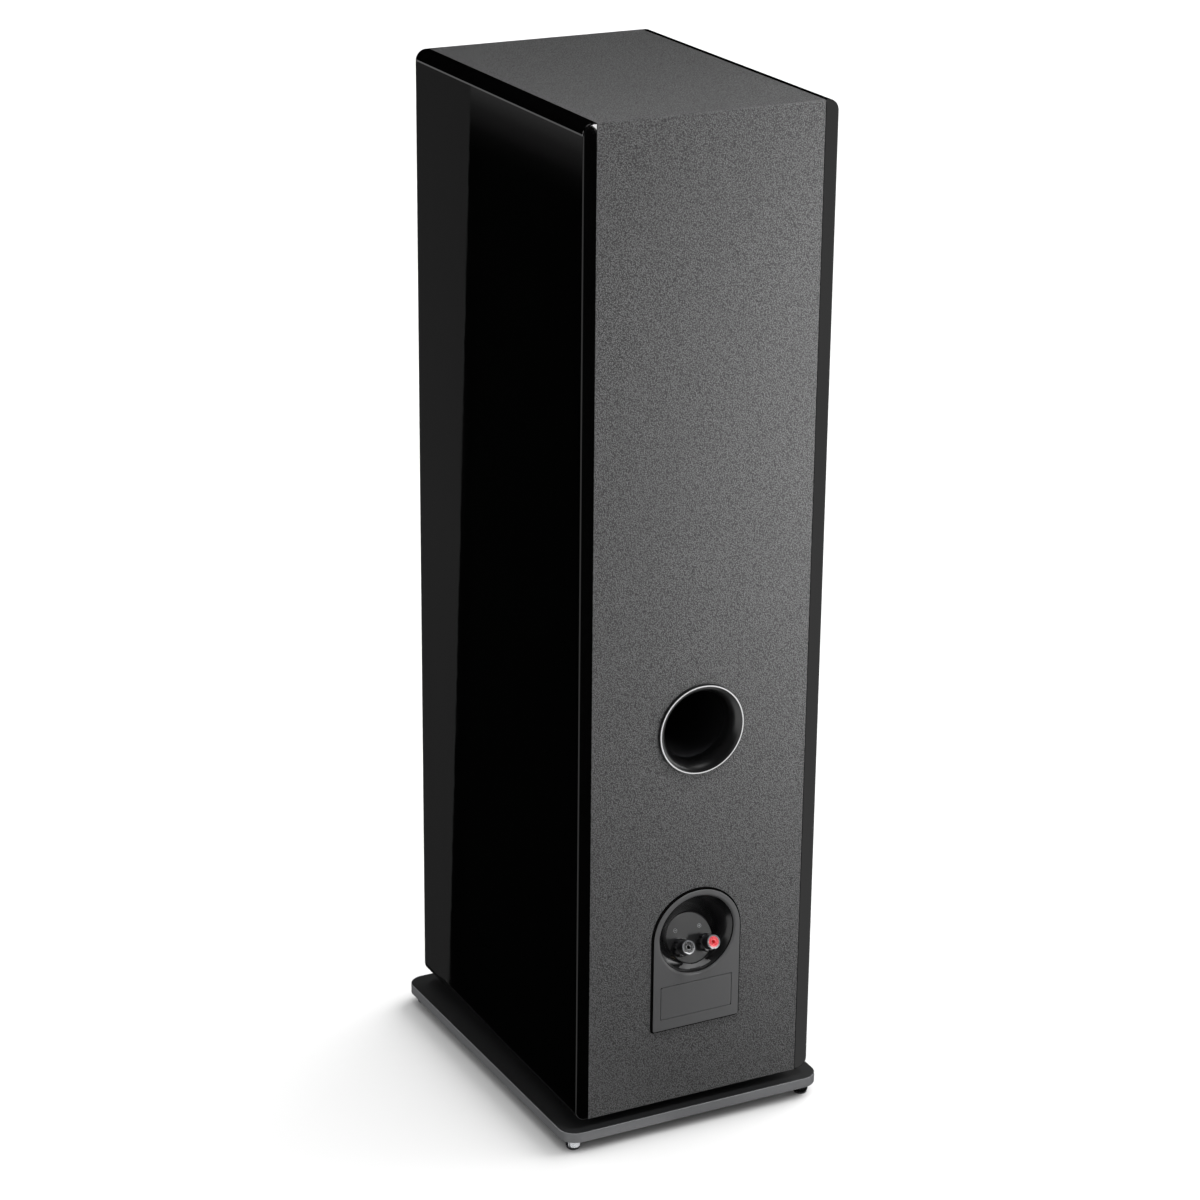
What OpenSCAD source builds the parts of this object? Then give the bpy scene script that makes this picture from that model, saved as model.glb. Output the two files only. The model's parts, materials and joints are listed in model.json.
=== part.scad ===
// Floorstanding loudspeaker: wrapped cabinet between two gloss side panels,
// three-way drivers, rear reflex port, binding posts and a levelling plinth.
// Floor at z = 0, front baffle faces -Y, rear panel faces +Y.

/* [Cabinet] */
// Height of the cabinet above the plinth gap
cabinet_h = 1000; // [980:5:1040]
// Width of the wrapped body between the side panels
core_w = 235; // [225:1:250]
// Depth of the cabinet
cabinet_d = 365; // [350:5:380]
// Thickness of each gloss side panel
gloss_t = 14; // [12:1:18]
// Radius of the side panels' long outer edges
gloss_r = 11; // [8:1:12]
// Thickness of the cabinet walls
wall_t = 18; // [15:1:20]
// Thickness of the front baffle
baffle_t = 25; // [22:1:28]
// Thickness of the two window braces
brace_t = 15; // [12:1:16]

/* [Plinth] */
// Half the plinth's width at the rear edge
plinth_rear_half = 145; // [140:1:155]
// Half the plinth's width at the front edge
plinth_front_half = 150; // [146:1:160]
// How far the plinth reaches behind the cabinet
plinth_rear_lip = 7; // [4:1:10]
// How far the plinth reaches in front of the cabinet
plinth_front_lip = 8; // [6:1:14]
// Thickness of the plinth plate
plinth_t = 11; // [10:1:14]
// Corner radius of the plinth
plinth_corner = 18; // [12:1:22]
// Gap between plinth and cabinet, filled by the spacers
spacer_h = 9; // [7:1:12]

/* [Feet] */
// Radius of each foot disc
foot_r = 7.6; // [7:0.1:9]
// Thickness of each foot disc
foot_t = 10; // [8:0.5:11]
// Thickness of the swivelling sole under a foot
sole_t = 2; // [1.5:0.1:2.5]
// Radius of the foot's threaded stem
foot_stem_r = 4; // [3:0.5:4]
// Distance from the plinth's edges to a foot's centre
foot_inset = 15; // [13:1:18]

/* [Drivers] */
// Height of the tweeter centre above the cabinet bottom
tweeter_z = 912; // [905:1:920]
// Height of the midrange centre
mid_z = 781; // [778:1:784]
// Height of the upper woofer centre
woofer_upper_z = 607; // [604:1:610]
// Height of the lower woofer centre
woofer_lower_z = 418; // [410:1:424]
// Outer radius of a woofer frame
woofer_r = 88; // [84:1:90]
// Outer radius of the midrange frame
mid_r = 71; // [66:1:72]
// Outer radius of the tweeter faceplate
tweeter_r = 54; // [50:1:56]

/* [Reflex port] */
// Height of the port centre
port_z = 398; // [380:1:420]
// Radius of the port bore
port_r = 36; // [32:1:38]
// Outer radius of the port flange
port_flange_r = 46; // [45:0.5:50]
// How far the port flange stands behind the rear panel
port_proud = 4; // [3:0.5:6]
// Length of the port from the rear panel inwards
port_len = 150; // [120:5:170]

/* [Terminals] */
// Height of the centre of the terminal plate's round top
cup_z = 179; // [175:1:190]
// Half the width of the terminal plate, also its top radius
cup_half = 48; // [46:0.5:52]
// Distance from the round top's centre to the plate's lower edge
cup_drop = 98; // [90:1:105]
// How far the terminal plate stands behind the rear panel
cup_proud = 2.8; // [2:0.2:4]
// Radius of the round recess at the plate's face
recess_r = 41; // [40:0.5:42]
// Radius of the recess floor
recess_floor_r = 25; // [24:0.5:27]
// Tilt of the recess floor and the posts
post_tilt = 26; // [22:1:30]
// Spacing between the two posts
post_pitch = 28; // [27:0.5:30]
// Outer radius of a clamping cap's neck and coloured ring
cap_r = 7; // [6.5:0.1:7.4]
// Outer radius of the fluted grip at a cap's foot
grip_r = 9; // [8:0.2:9.6]

/* [Hidden] */

$fn = 64;
slip = 0.05;
loose = 0.2;
foot_h = foot_t + sole_t;
cabinet_z = foot_h + plinth_t + spacer_h;
inner_half = core_w / 2 - wall_t;
half_d = cabinet_d / 2;

// Positions on the sloped recess floor, whose local Z is the post axis.
floor_depth = 14.3;
floor_drop = 10.9;
post_drop = 7.8;
post_len = 24.5;
flange_t = 1.6;
washer_t = 1.2;
cap_start = flange_t + washer_t;
insert_t = 1.5;
insert_inner_r = 3.3;
cup_wall = 3;

// The post caps may reach further back than the plinth, so the whole
// speaker is moved until its bounding box is centred on y = 0.
cap_reach = -floor_depth + post_drop * sin(post_tilt)
    + post_len * cos(post_tilt) + cap_r * sin(post_tilt);
cabinet_y = (plinth_front_lip - max(plinth_rear_lip, cap_reach)) / 2;

// Driver proportions, as shares of the frame radius.
ledge_share = 0.85;
cone_share = 0.70;
neck_share = 0.22;
coil_share = 0.19;
frame_plate_t = 4;
screw_r = 2.4;
screw_head_r = 4;
screw_circle_share = 0.93;
hole_share = 0.89;
screw_len = 19.5;
woofer_screws = 6;
tweeter_screws = 4;
dome_r = 13;
tweeter_hole_r = 40;
tweeter_circle_r = tweeter_r - 6;

spacer_x = 80;
spacer_y = 120;
bolt_r = 4;
insert_r = 7;
insert_h = plinth_t - 3;

board_w = 160;
board_d = 140;
board_t = 1.6;
standoff_h = 8;

// ---- Placing helpers -------------------------------------------------

module at_cabinet() {
    translate([0, cabinet_y, cabinet_z]) children();
}

// Local Z points out of the front baffle.
module at_front(z) {
    at_cabinet() translate([0, -half_d, z]) rotate([90, 0, 0]) children();
}

// Local Z points out of the rear panel and local Y points up.
module at_rear(z) {
    at_cabinet() translate([0, half_d, z]) rotate([90, 0, 180]) children();
}

// Local Z is the posts' axis and the origin is the recess floor's centre.
module at_recess_floor() {
    translate([0, -floor_drop, -floor_depth]) rotate([-post_tilt, 0, 0]) children();
}

// side is +1 for the post on the object's +X side.
module at_post(side) {
    at_rear(cup_z) at_recess_floor()
        translate([-side * post_pitch / 2, -post_drop, 0]) children();
}

module at_foot(side, front) {
    x = front ? plinth_front_half : plinth_rear_half;
    y = front ? -half_d - plinth_front_lip + foot_inset
              : half_d + plinth_rear_lip - foot_inset;
    translate([side * (x - foot_inset), cabinet_y + y, 0]) children();
}

module at_each_foot() {
    for (side = [-1, 1], front = [false, true]) at_foot(side, front) children();
}

module at_each_spacer() {
    for (x = [-spacer_x, spacer_x], y = [-spacer_y, spacer_y])
        translate([x, cabinet_y + y, 0]) children();
}

module on_circle(count, r, first = 0) {
    for (i = [0 : count - 1]) rotate([0, 0, first + i * 360 / count])
        translate([r, 0, 0]) children();
}

module ring(outer_r, inner_r, h) {
    difference() {
        cylinder(r = outer_r, h = h);
        translate([0, 0, -1]) cylinder(r = inner_r, h = h + 2);
    }
}

// ---- Cabinet ---------------------------------------------------------

// The rear panel meets the top and bottom panels in a mitre along each edge,
// and the front baffle stands between the two.
module top_panel() {
    color("#3a3a3d") at_cabinet() translate([core_w / 2, 0, cabinet_h])
        rotate([90, 0, -90]) linear_extrude(core_w)
            polygon([
                [half_d, 0], [-half_d, 0],
                [-half_d + wall_t, -wall_t], [half_d, -wall_t],
            ]);
}

module bottom_panel() {
    color("#3a3a3d") difference() {
        at_cabinet() translate([core_w / 2, 0, 0])
            rotate([90, 0, -90]) linear_extrude(core_w)
                polygon([
                    [half_d, 0], [half_d, wall_t],
                    [-half_d + wall_t, wall_t], [-half_d, 0],
                ]);
        at_each_spacer() translate([0, 0, cabinet_z - 1])
            cylinder(r = bolt_r + slip, h = wall_t + 2);
    }
}

module rear_panel() {
    color("#3a3a3d") difference() {
        at_cabinet() translate([core_w / 2, 0, 0])
            rotate([90, 0, -90]) linear_extrude(core_w)
                polygon([
                    [-half_d, 0], [-half_d, cabinet_h],
                    [-half_d + wall_t, cabinet_h - wall_t], [-half_d + wall_t, wall_t],
                ]);
        at_rear(port_z) translate([0, 0, -wall_t - 1])
            cylinder(r = port_r + 4 + loose, h = wall_t + 2);
        at_rear(cup_z) translate([0, 0, -wall_t - 1])
            cylinder(r = recess_r + cup_wall + 0.5, h = wall_t + 2);
    }
}

// Rebate and through hole for one driver, with blind screw holes.
module driver_cutout(z, r, hole_r, screws, circle_r) {
    at_front(z) {
        translate([0, 0, -frame_plate_t - 0.1]) cylinder(r = r + 0.3, h = frame_plate_t + 1);
        translate([0, 0, -baffle_t - 1]) cylinder(r = hole_r, h = baffle_t + 2);
        translate([0, 0, -screw_len - 1]) on_circle(screws, circle_r, 45)
            cylinder(r = screw_r + slip, h = screw_len);
    }
}

module cone_driver_cutout(z, r) {
    driver_cutout(z, r, hole_share * r, woofer_screws, screw_circle_share * r);
}

module tweeter_cutout() {
    driver_cutout(tweeter_z, tweeter_r, tweeter_hole_r, tweeter_screws, tweeter_circle_r);
}

module front_baffle() {
    color("#17171a") difference() {
        at_cabinet() translate([-core_w / 2, -half_d, wall_t])
            cube([core_w, baffle_t, cabinet_h - 2 * wall_t]);
        tweeter_cutout();
        cone_driver_cutout(mid_z, mid_r);
        cone_driver_cutout(woofer_upper_z, woofer_r);
        cone_driver_cutout(woofer_lower_z, woofer_r);
    }
}

module core_wall(side) {
    color("#b08f62") at_cabinet()
        translate([side * (core_w - wall_t) / 2, (baffle_t - wall_t) / 2, cabinet_h / 2])
            cube([wall_t, cabinet_d - baffle_t - wall_t, cabinet_h - 2 * wall_t], center = true);
}

module core_wall_left() { core_wall(1); }

module core_wall_right() { core_wall(-1); }

// Cross-section of a side panel: flat inner face, quarter-round outer edges.
module gloss_profile() {
    inner_w = gloss_t - gloss_r;
    square([inner_w, cabinet_h]);
    translate([0, gloss_r]) square([gloss_t, cabinet_h - 2 * gloss_r]);
    for (z = [gloss_r, cabinet_h - gloss_r]) intersection() {
        translate([inner_w, z]) circle(r = gloss_r);
        square([gloss_t, cabinet_h]);
    }
}

module gloss_panel(side) {
    color("#0c0c0e") at_cabinet() mirror([side < 0 ? 1 : 0, 0, 0])
        translate([core_w / 2, half_d, 0]) rotate([90, 0, 0])
            linear_extrude(cabinet_d) gloss_profile();
}

module gloss_panel_left() { gloss_panel(1); }

module gloss_panel_right() { gloss_panel(-1); }

// One horizontal brace with four windows.
module window_brace(z) {
    depth = cabinet_d - baffle_t - wall_t;
    window_x = inner_half - 27;
    window_y = min(100, depth / 2 - 30);
    at_cabinet() translate([0, (baffle_t - wall_t) / 2, z]) difference() {
        cube([2 * inner_half, depth, brace_t], center = true);
        for (sx = [-1, 1], sy = [-1, 1])
            translate([sx * (window_x / 2 + 12), sy * (window_y / 2 + 12), 0])
                cube([window_x, window_y, brace_t + 2], center = true);
    }
}

module braces() {
    color("#b08f62") {
        window_brace((woofer_upper_z + woofer_lower_z) / 2);
        window_brace(woofer_upper_z + woofer_r);
    }
}

// Open box behind the midrange, closed off from the woofers' air.
module mid_chamber() {
    chamber_d = 115;
    chamber_h = 2 * mid_r + 20;
    chamber_wall = 12;
    color("#b08f62") at_cabinet()
        translate([0, baffle_t - half_d + chamber_d / 2, mid_z + 4]) difference() {
            cube([2 * inner_half, chamber_d, chamber_h], center = true);
            translate([0, -chamber_wall, 0])
                cube([2 * (inner_half - chamber_wall), chamber_d, chamber_h - 2 * chamber_wall],
                    center = true);
        }
}

module damping_pad() {
    pad_t = 30;
    pad_h = 150;
    color("#d8d5cc") at_cabinet()
        translate([0, half_d - wall_t - pad_t / 2, woofer_upper_z - 8])
            cube([2 * inner_half - 20, pad_t, pad_h], center = true);
}

// ---- Plinth and feet -------------------------------------------------

module plinth_outline() {
    c = plinth_corner;
    front_y = -half_d - plinth_front_lip + c;
    rear_y = half_d + plinth_rear_lip - c;
    hull() for (side = [-1, 1]) {
        translate([side * (plinth_front_half - c), front_y]) circle(r = c);
        translate([side * (plinth_rear_half - c), rear_y]) circle(r = c);
    }
}

module plinth() {
    head_h = 5;
    color("#2b2c30") difference() {
        translate([0, cabinet_y, foot_h]) linear_extrude(plinth_t) plinth_outline();
        at_each_foot() translate([0, 0, foot_h - 1])
            cylinder(r = insert_r + slip, h = insert_h + 1);
        at_each_spacer() translate([0, 0, foot_h - 1]) {
            cylinder(r = bolt_r + loose, h = plinth_t + 2);
            cylinder(r = 8, h = head_h + 1.5);
        }
    }
}

module plinth_spacers() {
    color("#1c1c1f") at_each_spacer() translate([0, 0, foot_h + plinth_t])
        ring(12, bolt_r + loose, spacer_h);
}

// Socket-head bolts, from under the plinth up into the bottom panel.
module plinth_bolts() {
    head_h = 5;
    color("#8c8f94") at_each_spacer() translate([0, 0, foot_h + 0.5]) difference() {
        union() {
            cylinder(r = 6.5, h = head_h);
            cylinder(r = bolt_r, h = plinth_t + spacer_h + wall_t - 2);
        }
        translate([0, 0, -1]) cylinder(r = 3.2, h = 4, $fn = 6);
    }
}

module foot_inserts() {
    color("#b3953e") at_each_foot() translate([0, 0, foot_h])
        ring(insert_r, foot_stem_r + slip, insert_h);
}

module foot(side, front) {
    stem_h = insert_h - 0.5;
    color("#c4c7cc") at_foot(side, front) difference() {
        union() {
            translate([0, 0, sole_t]) cylinder(r = foot_r, h = foot_t - 0.1);
            translate([0, 0, sole_t]) cylinder(r = foot_stem_r, h = foot_t + stem_h);
        }
        translate([0, 0, sole_t - 1]) on_circle(12, foot_r + 0.4) cylinder(r = 0.8, h = foot_t + 2);
    }
}

module foot_front_left() { foot(1, true); }

module foot_front_right() { foot(-1, true); }

module foot_rear_left() { foot(1, false); }

module foot_rear_right() { foot(-1, false); }

module sole(side, front) {
    color("#101012") at_foot(side, front) cylinder(r = foot_r - 0.8, h = sole_t);
}

module sole_front_left() { sole(1, true); }

module sole_front_right() { sole(-1, true); }

module sole_rear_left() { sole(1, false); }

module sole_rear_right() { sole(-1, false); }

// ---- Reflex port -----------------------------------------------------

// Flange, quarter-round mouth and the sleeve that holds the tube.
module port_flare() {
    mouth_r = 7;
    sleeve_r = port_r + 4;
    sleeve_len = 30;
    tube_start = 18;
    color("#1a1a1d") at_rear(port_z) difference() {
        union() {
            cylinder(r = port_flange_r, h = port_proud - 1.5);
            translate([0, 0, port_proud - 1.5])
                cylinder(r1 = port_flange_r, r2 = port_flange_r - 1.5, h = 1.5);
            translate([0, 0, -sleeve_len]) cylinder(r = sleeve_r, h = sleeve_len + 1);
        }
        translate([0, 0, -tube_start - 1]) cylinder(r = port_r, h = tube_start + port_proud + 2);
        translate([0, 0, port_proud - mouth_r]) rotate_extrude() difference() {
            square([port_r + mouth_r, mouth_r + 1]);
            translate([port_r + mouth_r, 0]) circle(r = mouth_r);
        }
        translate([0, 0, -sleeve_len - 1])
            cylinder(r = port_r + 2.4 + slip, h = sleeve_len + 1 - tube_start);
    }
}

module port_tube() {
    tube_start = 18;
    color("#141416") at_rear(port_z) translate([0, 0, -port_len])
        ring(port_r + 2.4, port_r, port_len - tube_start);
}

// ---- Terminals -------------------------------------------------------

module terminal_outline(inset = 0) {
    w = cup_half - inset;
    circle(r = w);
    translate([-w, inset - cup_drop]) square([2 * w, cup_drop - inset]);
}

// Plate on the rear panel with a round recess whose floor slopes upwards.
module terminal_cup() {
    shadow_gap = 1.4;
    label_h = 36;
    label_w = 80;
    floor_t = 4;
    color("#4a4b4f") at_rear(cup_z) difference() {
        union() {
            linear_extrude(cup_proud - 1) terminal_outline(shadow_gap);
            translate([0, 0, 1]) linear_extrude(cup_proud - 1) terminal_outline();
            hull() {
                translate([0, 0, -0.5]) cylinder(r = recess_r + cup_wall, h = 0.5);
                at_recess_floor() translate([0, 0, -floor_t])
                    cylinder(r = recess_floor_r + cup_wall, h = 0.5);
            }
        }
        hull() {
            translate([0, 0, cup_proud]) cylinder(r = recess_r, h = 1);
            at_recess_floor() cylinder(r = recess_floor_r, h = 0.5);
        }
        translate([-label_w / 2, 12 - cup_drop, cup_proud - 0.8]) cube([label_w, label_h, 2]);
        for (side = [-1, 1]) at_recess_floor()
            translate([side * post_pitch / 2, -post_drop, -floor_t - 1])
                cylinder(r = 3 + loose, h = floor_t + 2);
    }
}

// Threaded post: inner flange, cross hole for bare wire, socket in the tip.
module stud(side) {
    tail = 15;
    tip = post_len - 1;
    socket_depth = 13.5;
    color("#c8a24a") at_post(side) difference() {
        union() {
            translate([0, 0, -tail]) cylinder(r = 3, h = tail + tip);
            cylinder(r = 6, h = flange_t);
        }
        translate([0, 0, tip - socket_depth]) cylinder(r = 2.05, h = socket_depth + 1);
        translate([0, -5, 5]) rotate([-90, 0, 0]) cylinder(r = 1.4, h = 10);
    }
}

module stud_black() { stud(1); }

module stud_red() { stud(-1); }

module stud_nuts() {
    color("#9a9da2") for (side = [-1, 1]) at_post(side) translate([0, 0, -9.2]) difference() {
        cylinder(r = 5.6, h = 5, $fn = 6);
        translate([0, 0, -1]) cylinder(r = 3 + slip, h = 7);
    }
}

module washer(side) {
    color("#c8a24a") at_post(side) translate([0, 0, flange_t]) ring(6, 3.3, washer_t);
}

module washer_black() { washer(1); }

module washer_red() { washer(-1); }

// Cap that screws along the stud: fluted grip at its foot, plain neck above.
module cap(side) {
    body_h = post_len - insert_t - cap_start;
    grip_h = 9;
    flute_r = 2;
    color("#161618") at_post(side) translate([0, 0, cap_start]) difference() {
        union() {
            cylinder(r = grip_r, h = grip_h);
            cylinder(r = cap_r - 0.4, h = body_h);
        }
        translate([0, 0, -1]) cylinder(r = 3 + slip, h = body_h + 2);
        translate([0, 0, -1]) on_circle(8, grip_r + 1) cylinder(r = flute_r, h = grip_h + 2);
    }
}

module cap_black() { cap(1); }

module cap_red() { cap(-1); }

// Coloured ring pressed onto the end of a cap.
module cap_insert(side, shade) {
    color(shade) at_post(side) translate([0, 0, post_len - insert_t])
        ring(cap_r, insert_inner_r, insert_t);
}

module cap_insert_black() { cap_insert(1, "#0e0e10"); }

module cap_insert_red() { cap_insert(-1, "#a51e22"); }

// ---- Crossover -------------------------------------------------------

board_z = wall_t + standoff_h;
board_y = 5;

module at_board() {
    at_cabinet() translate([0, board_y, board_z]) children();
}

module at_board_corners() {
    for (x = [-1, 1], y = [-1, 1])
        translate([x * (board_w / 2 - 8), y * (board_d / 2 - 8), 0]) children();
}

module crossover_board() {
    color("#2f5d3a") at_board() difference() {
        translate([-board_w / 2, -board_d / 2, 0]) cube([board_w, board_d, board_t]);
        at_board_corners() translate([0, 0, -1]) cylinder(r = 1.8, h = board_t + 2);
    }
}

module board_standoffs() {
    color("#c9c4b4") at_board() translate([0, 0, -standoff_h]) at_board_corners()
        ring(4, 1.8, standoff_h);
}

module inductors() {
    color("#a8622d") at_board() translate([0, 0, board_t]) {
        translate([-45, 30, 0]) ring(25, 11, 22);
        translate([45, 30, 0]) ring(20, 9, 18);
        translate([-45, -30, 0]) ring(18, 8, 16);
    }
}

module capacitors() {
    color("#d9b23a") at_board() translate([0, 0, board_t]) for (i = [0 : 3])
        translate([12 + 17 * i, -50, 8]) rotate([-90, 0, 0]) cylinder(r = 7.5, h = 38);
}

module resistors() {
    color("#e6e2d6") at_board() translate([0, 0, board_t]) for (i = [0 : 2])
        translate([-8 + 12 * i, -2 + 18 * i, 0]) cube([9, 9 + 20 * (2 - i) / 2, 8]);
}

// ---- Drivers ---------------------------------------------------------

// Cast frame: front ring, windowed bowl and rear landing, for radius r.
module basket(r) {
    bowl_front = frame_plate_t;
    bowl_d = 0.6 * r;
    landing_r = 0.5 * r;
    difference() {
        rotate_extrude() polygon([
            [ledge_share * r, 0], [r, 0], [r, -bowl_front], [0.87 * r, -bowl_front],
            [0.87 * r, -bowl_front - 8], [landing_r + 4, -bowl_d], [landing_r + 4, -bowl_d - 4],
            [coil_share * r + 6, -bowl_d - 4], [coil_share * r + 6, -bowl_d],
            [landing_r, -bowl_d], [ledge_share * r, -bowl_front - 8],
        ]);
        translate([0, 0, -bowl_d / 2 - 8]) on_circle(6, 0.7 * r, 15)
            cube([0.6 * r, 0.38 * r, bowl_d - 24], center = true);
        on_circle(6, screw_circle_share * r, 45) {
            translate([0, 0, -frame_plate_t - 1]) cylinder(r = screw_r + loose, h = frame_plate_t + 2);
            translate([0, 0, -2]) cylinder(r = screw_head_r + loose, h = 3);
        }
    }
}

// Half-roll rubber surround between the frame and the cone.
module surround(r) {
    outer = ledge_share * r - slip;
    inner = cone_share * r + 0.6;
    roll = (outer - inner) / 2 - 1.5;
    mid = (outer + inner) / 2;
    skin = 0.8;
    translate([0, 0, -5]) rotate_extrude() {
        difference() {
            translate([mid, 0]) circle(r = roll);
            translate([mid, 0]) circle(r = roll - skin);
            translate([mid - roll - 1, -roll - 1]) square([2 * roll + 2, roll + 1]);
        }
        translate([inner, 0]) square([mid - roll - inner + skin, skin]);
        translate([mid + roll - skin, 0]) square([outer - mid - roll + skin, skin]);
    }
}

// Cone, dust cap and voice-coil former, which are glued into one piece.
module cone(r) {
    edge = cone_share * r;
    neck = neck_share * r;
    coil = coil_share * r;
    cone_d = 0.32 * r;
    skin = 1.2;
    cap_rise = 0.06 * r;
    cap_sphere = (neck * neck + cap_rise * cap_rise) / (2 * cap_rise);
    former_end = 0.6 * r + 0.2 * r;
    translate([0, 0, -5]) {
        rotate_extrude() polygon([
            [edge, 0], [edge, -skin], [neck, -cone_d - skin], [coil - 0.6, -cone_d - skin],
            [coil - 0.6, -cone_d + 0.5], [neck, -cone_d + 0.5],
        ]);
        intersection() {
            translate([0, 0, -cone_d + 0.4 + cap_rise - cap_sphere]) difference() {
                sphere(r = cap_sphere);
                sphere(r = cap_sphere - skin);
            }
            translate([0, 0, -cone_d + 0.4 - skin]) cylinder(r = neck, h = cap_rise + 2 * skin);
        }
        translate([0, 0, 5 - former_end]) ring(coil, coil - 0.6, former_end - 5 - cone_d);
    }
}

// Flat stand-in for the corrugated spider behind the cone.
module spider(r) {
    translate([0, 0, -0.46 * r - 1]) ring(0.56 * r, coil_share * r + 0.4, 1);
}

// Ring magnet, plates and pole, with the annular gap for the coil.
module magnet(r) {
    face = -0.6 * r - 4;
    body_h = 0.34 * r;
    gap_d = 0.28 * r;
    coil = coil_share * r;
    translate([0, 0, face - body_h]) difference() {
        union() {
            cylinder(r = 0.5 * r, h = body_h);
            translate([0, 0, body_h - 1]) cylinder(r = coil - 1.6, h = 4);
        }
        translate([0, 0, body_h - gap_d]) ring(coil + 1, coil - 1.6, gap_d + 6);
    }
}

module woofer_upper_basket() { color("#26272b") at_front(woofer_upper_z) basket(woofer_r); }

module woofer_upper_surround() { color("#141416") at_front(woofer_upper_z) surround(woofer_r); }

module woofer_upper_cone() { color("#c9ccd2") at_front(woofer_upper_z) cone(woofer_r); }

module woofer_upper_spider() { color("#b98f4f") at_front(woofer_upper_z) spider(woofer_r); }

module woofer_upper_magnet() { color("#3b3d42") at_front(woofer_upper_z) magnet(woofer_r); }

module woofer_lower_basket() { color("#26272b") at_front(woofer_lower_z) basket(woofer_r); }

module woofer_lower_surround() { color("#141416") at_front(woofer_lower_z) surround(woofer_r); }

module woofer_lower_cone() { color("#c9ccd2") at_front(woofer_lower_z) cone(woofer_r); }

module woofer_lower_spider() { color("#b98f4f") at_front(woofer_lower_z) spider(woofer_r); }

module woofer_lower_magnet() { color("#3b3d42") at_front(woofer_lower_z) magnet(woofer_r); }

module mid_basket() { color("#26272b") at_front(mid_z) basket(mid_r); }

module mid_surround() { color("#141416") at_front(mid_z) surround(mid_r); }

module mid_cone() { color("#c9ccd2") at_front(mid_z) cone(mid_r); }

module mid_spider() { color("#b98f4f") at_front(mid_z) spider(mid_r); }

module mid_magnet() { color("#3b3d42") at_front(mid_z) magnet(mid_r); }

// Faceplate with a shallow conical horn around the dome.
module tweeter_faceplate() {
    horn_r = 32;
    color("#1d1d20") at_front(tweeter_z) difference() {
        translate([0, 0, -frame_plate_t]) cylinder(r = tweeter_r, h = frame_plate_t);
        translate([0, 0, -frame_plate_t - 0.1])
            cylinder(r1 = dome_r + 4, r2 = horn_r, h = frame_plate_t + 0.2);
        on_circle(tweeter_screws, tweeter_circle_r, 45) {
            translate([0, 0, -frame_plate_t - 1]) cylinder(r = screw_r + loose, h = frame_plate_t + 2);
            translate([0, 0, -2]) cylinder(r = screw_head_r + loose, h = 3);
        }
    }
}

module tweeter_surround() {
    color("#141416") at_front(tweeter_z) translate([0, 0, -frame_plate_t - 1])
        ring(dome_r + 4, dome_r + 0.3, 0.6);
}

module tweeter_dome() {
    color("#b8bbc2") at_front(tweeter_z) translate([0, 0, -frame_plate_t - 1]) {
        intersection() {
            translate([0, 0, -9]) difference() {
                sphere(r = 15.8);
                sphere(r = 15.2);
            }
            cylinder(r = dome_r, h = 10);
        }
        translate([0, 0, -6]) ring(dome_r, dome_r - 0.5, 6.6);
    }
}

module tweeter_magnet() {
    body_h = 30;
    color("#3b3d42") at_front(tweeter_z) translate([0, 0, -frame_plate_t - 1.4 - body_h]) difference() {
        cylinder(r = 36, h = body_h);
        translate([0, 0, body_h - 9]) ring(dome_r + 1, dome_r - 1.5, 10);
        translate([0, 0, body_h - 1.5]) cylinder(r = dome_r - 1, h = 2);
    }
}

module driver_screw() {
    translate([0, 0, -2]) difference() {
        union() {
            cylinder(r = screw_head_r, h = 1.8);
            translate([0, 0, -17]) cylinder(r = screw_r, h = 17.5);
        }
        translate([0, 0, 0.6]) cylinder(r = 1.8, h = 2, $fn = 6);
    }
}

module driver_screws() {
    color("#2e2f33") {
        for (place = [[mid_z, mid_r], [woofer_upper_z, woofer_r], [woofer_lower_z, woofer_r]])
            at_front(place[0]) on_circle(woofer_screws, screw_circle_share * place[1], 45)
                driver_screw();
        at_front(tweeter_z)
            on_circle(tweeter_screws, tweeter_circle_r, 45) driver_screw();
    }
}

// ---- Nodes -----------------------------------------------------------

top_panel();
bottom_panel();
rear_panel();
front_baffle();
core_wall_left();
core_wall_right();
gloss_panel_left();
gloss_panel_right();
braces();
mid_chamber();
damping_pad();
plinth();
plinth_spacers();
plinth_bolts();
foot_inserts();
foot_front_left();
foot_front_right();
foot_rear_left();
foot_rear_right();
sole_front_left();
sole_front_right();
sole_rear_left();
sole_rear_right();
port_flare();
port_tube();
terminal_cup();
stud_black();
stud_red();
stud_nuts();
washer_black();
washer_red();
cap_black();
cap_red();
cap_insert_black();
cap_insert_red();
crossover_board();
board_standoffs();
inductors();
capacitors();
resistors();
tweeter_faceplate();
tweeter_surround();
tweeter_dome();
tweeter_magnet();
mid_basket();
mid_surround();
mid_cone();
mid_spider();
mid_magnet();
woofer_upper_basket();
woofer_upper_surround();
woofer_upper_cone();
woofer_upper_spider();
woofer_upper_magnet();
woofer_lower_basket();
woofer_lower_surround();
woofer_lower_cone();
woofer_lower_spider();
woofer_lower_magnet();
driver_screws();
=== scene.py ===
import itertools
import json
import math

import bpy
from mathutils import Matrix, Vector

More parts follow.
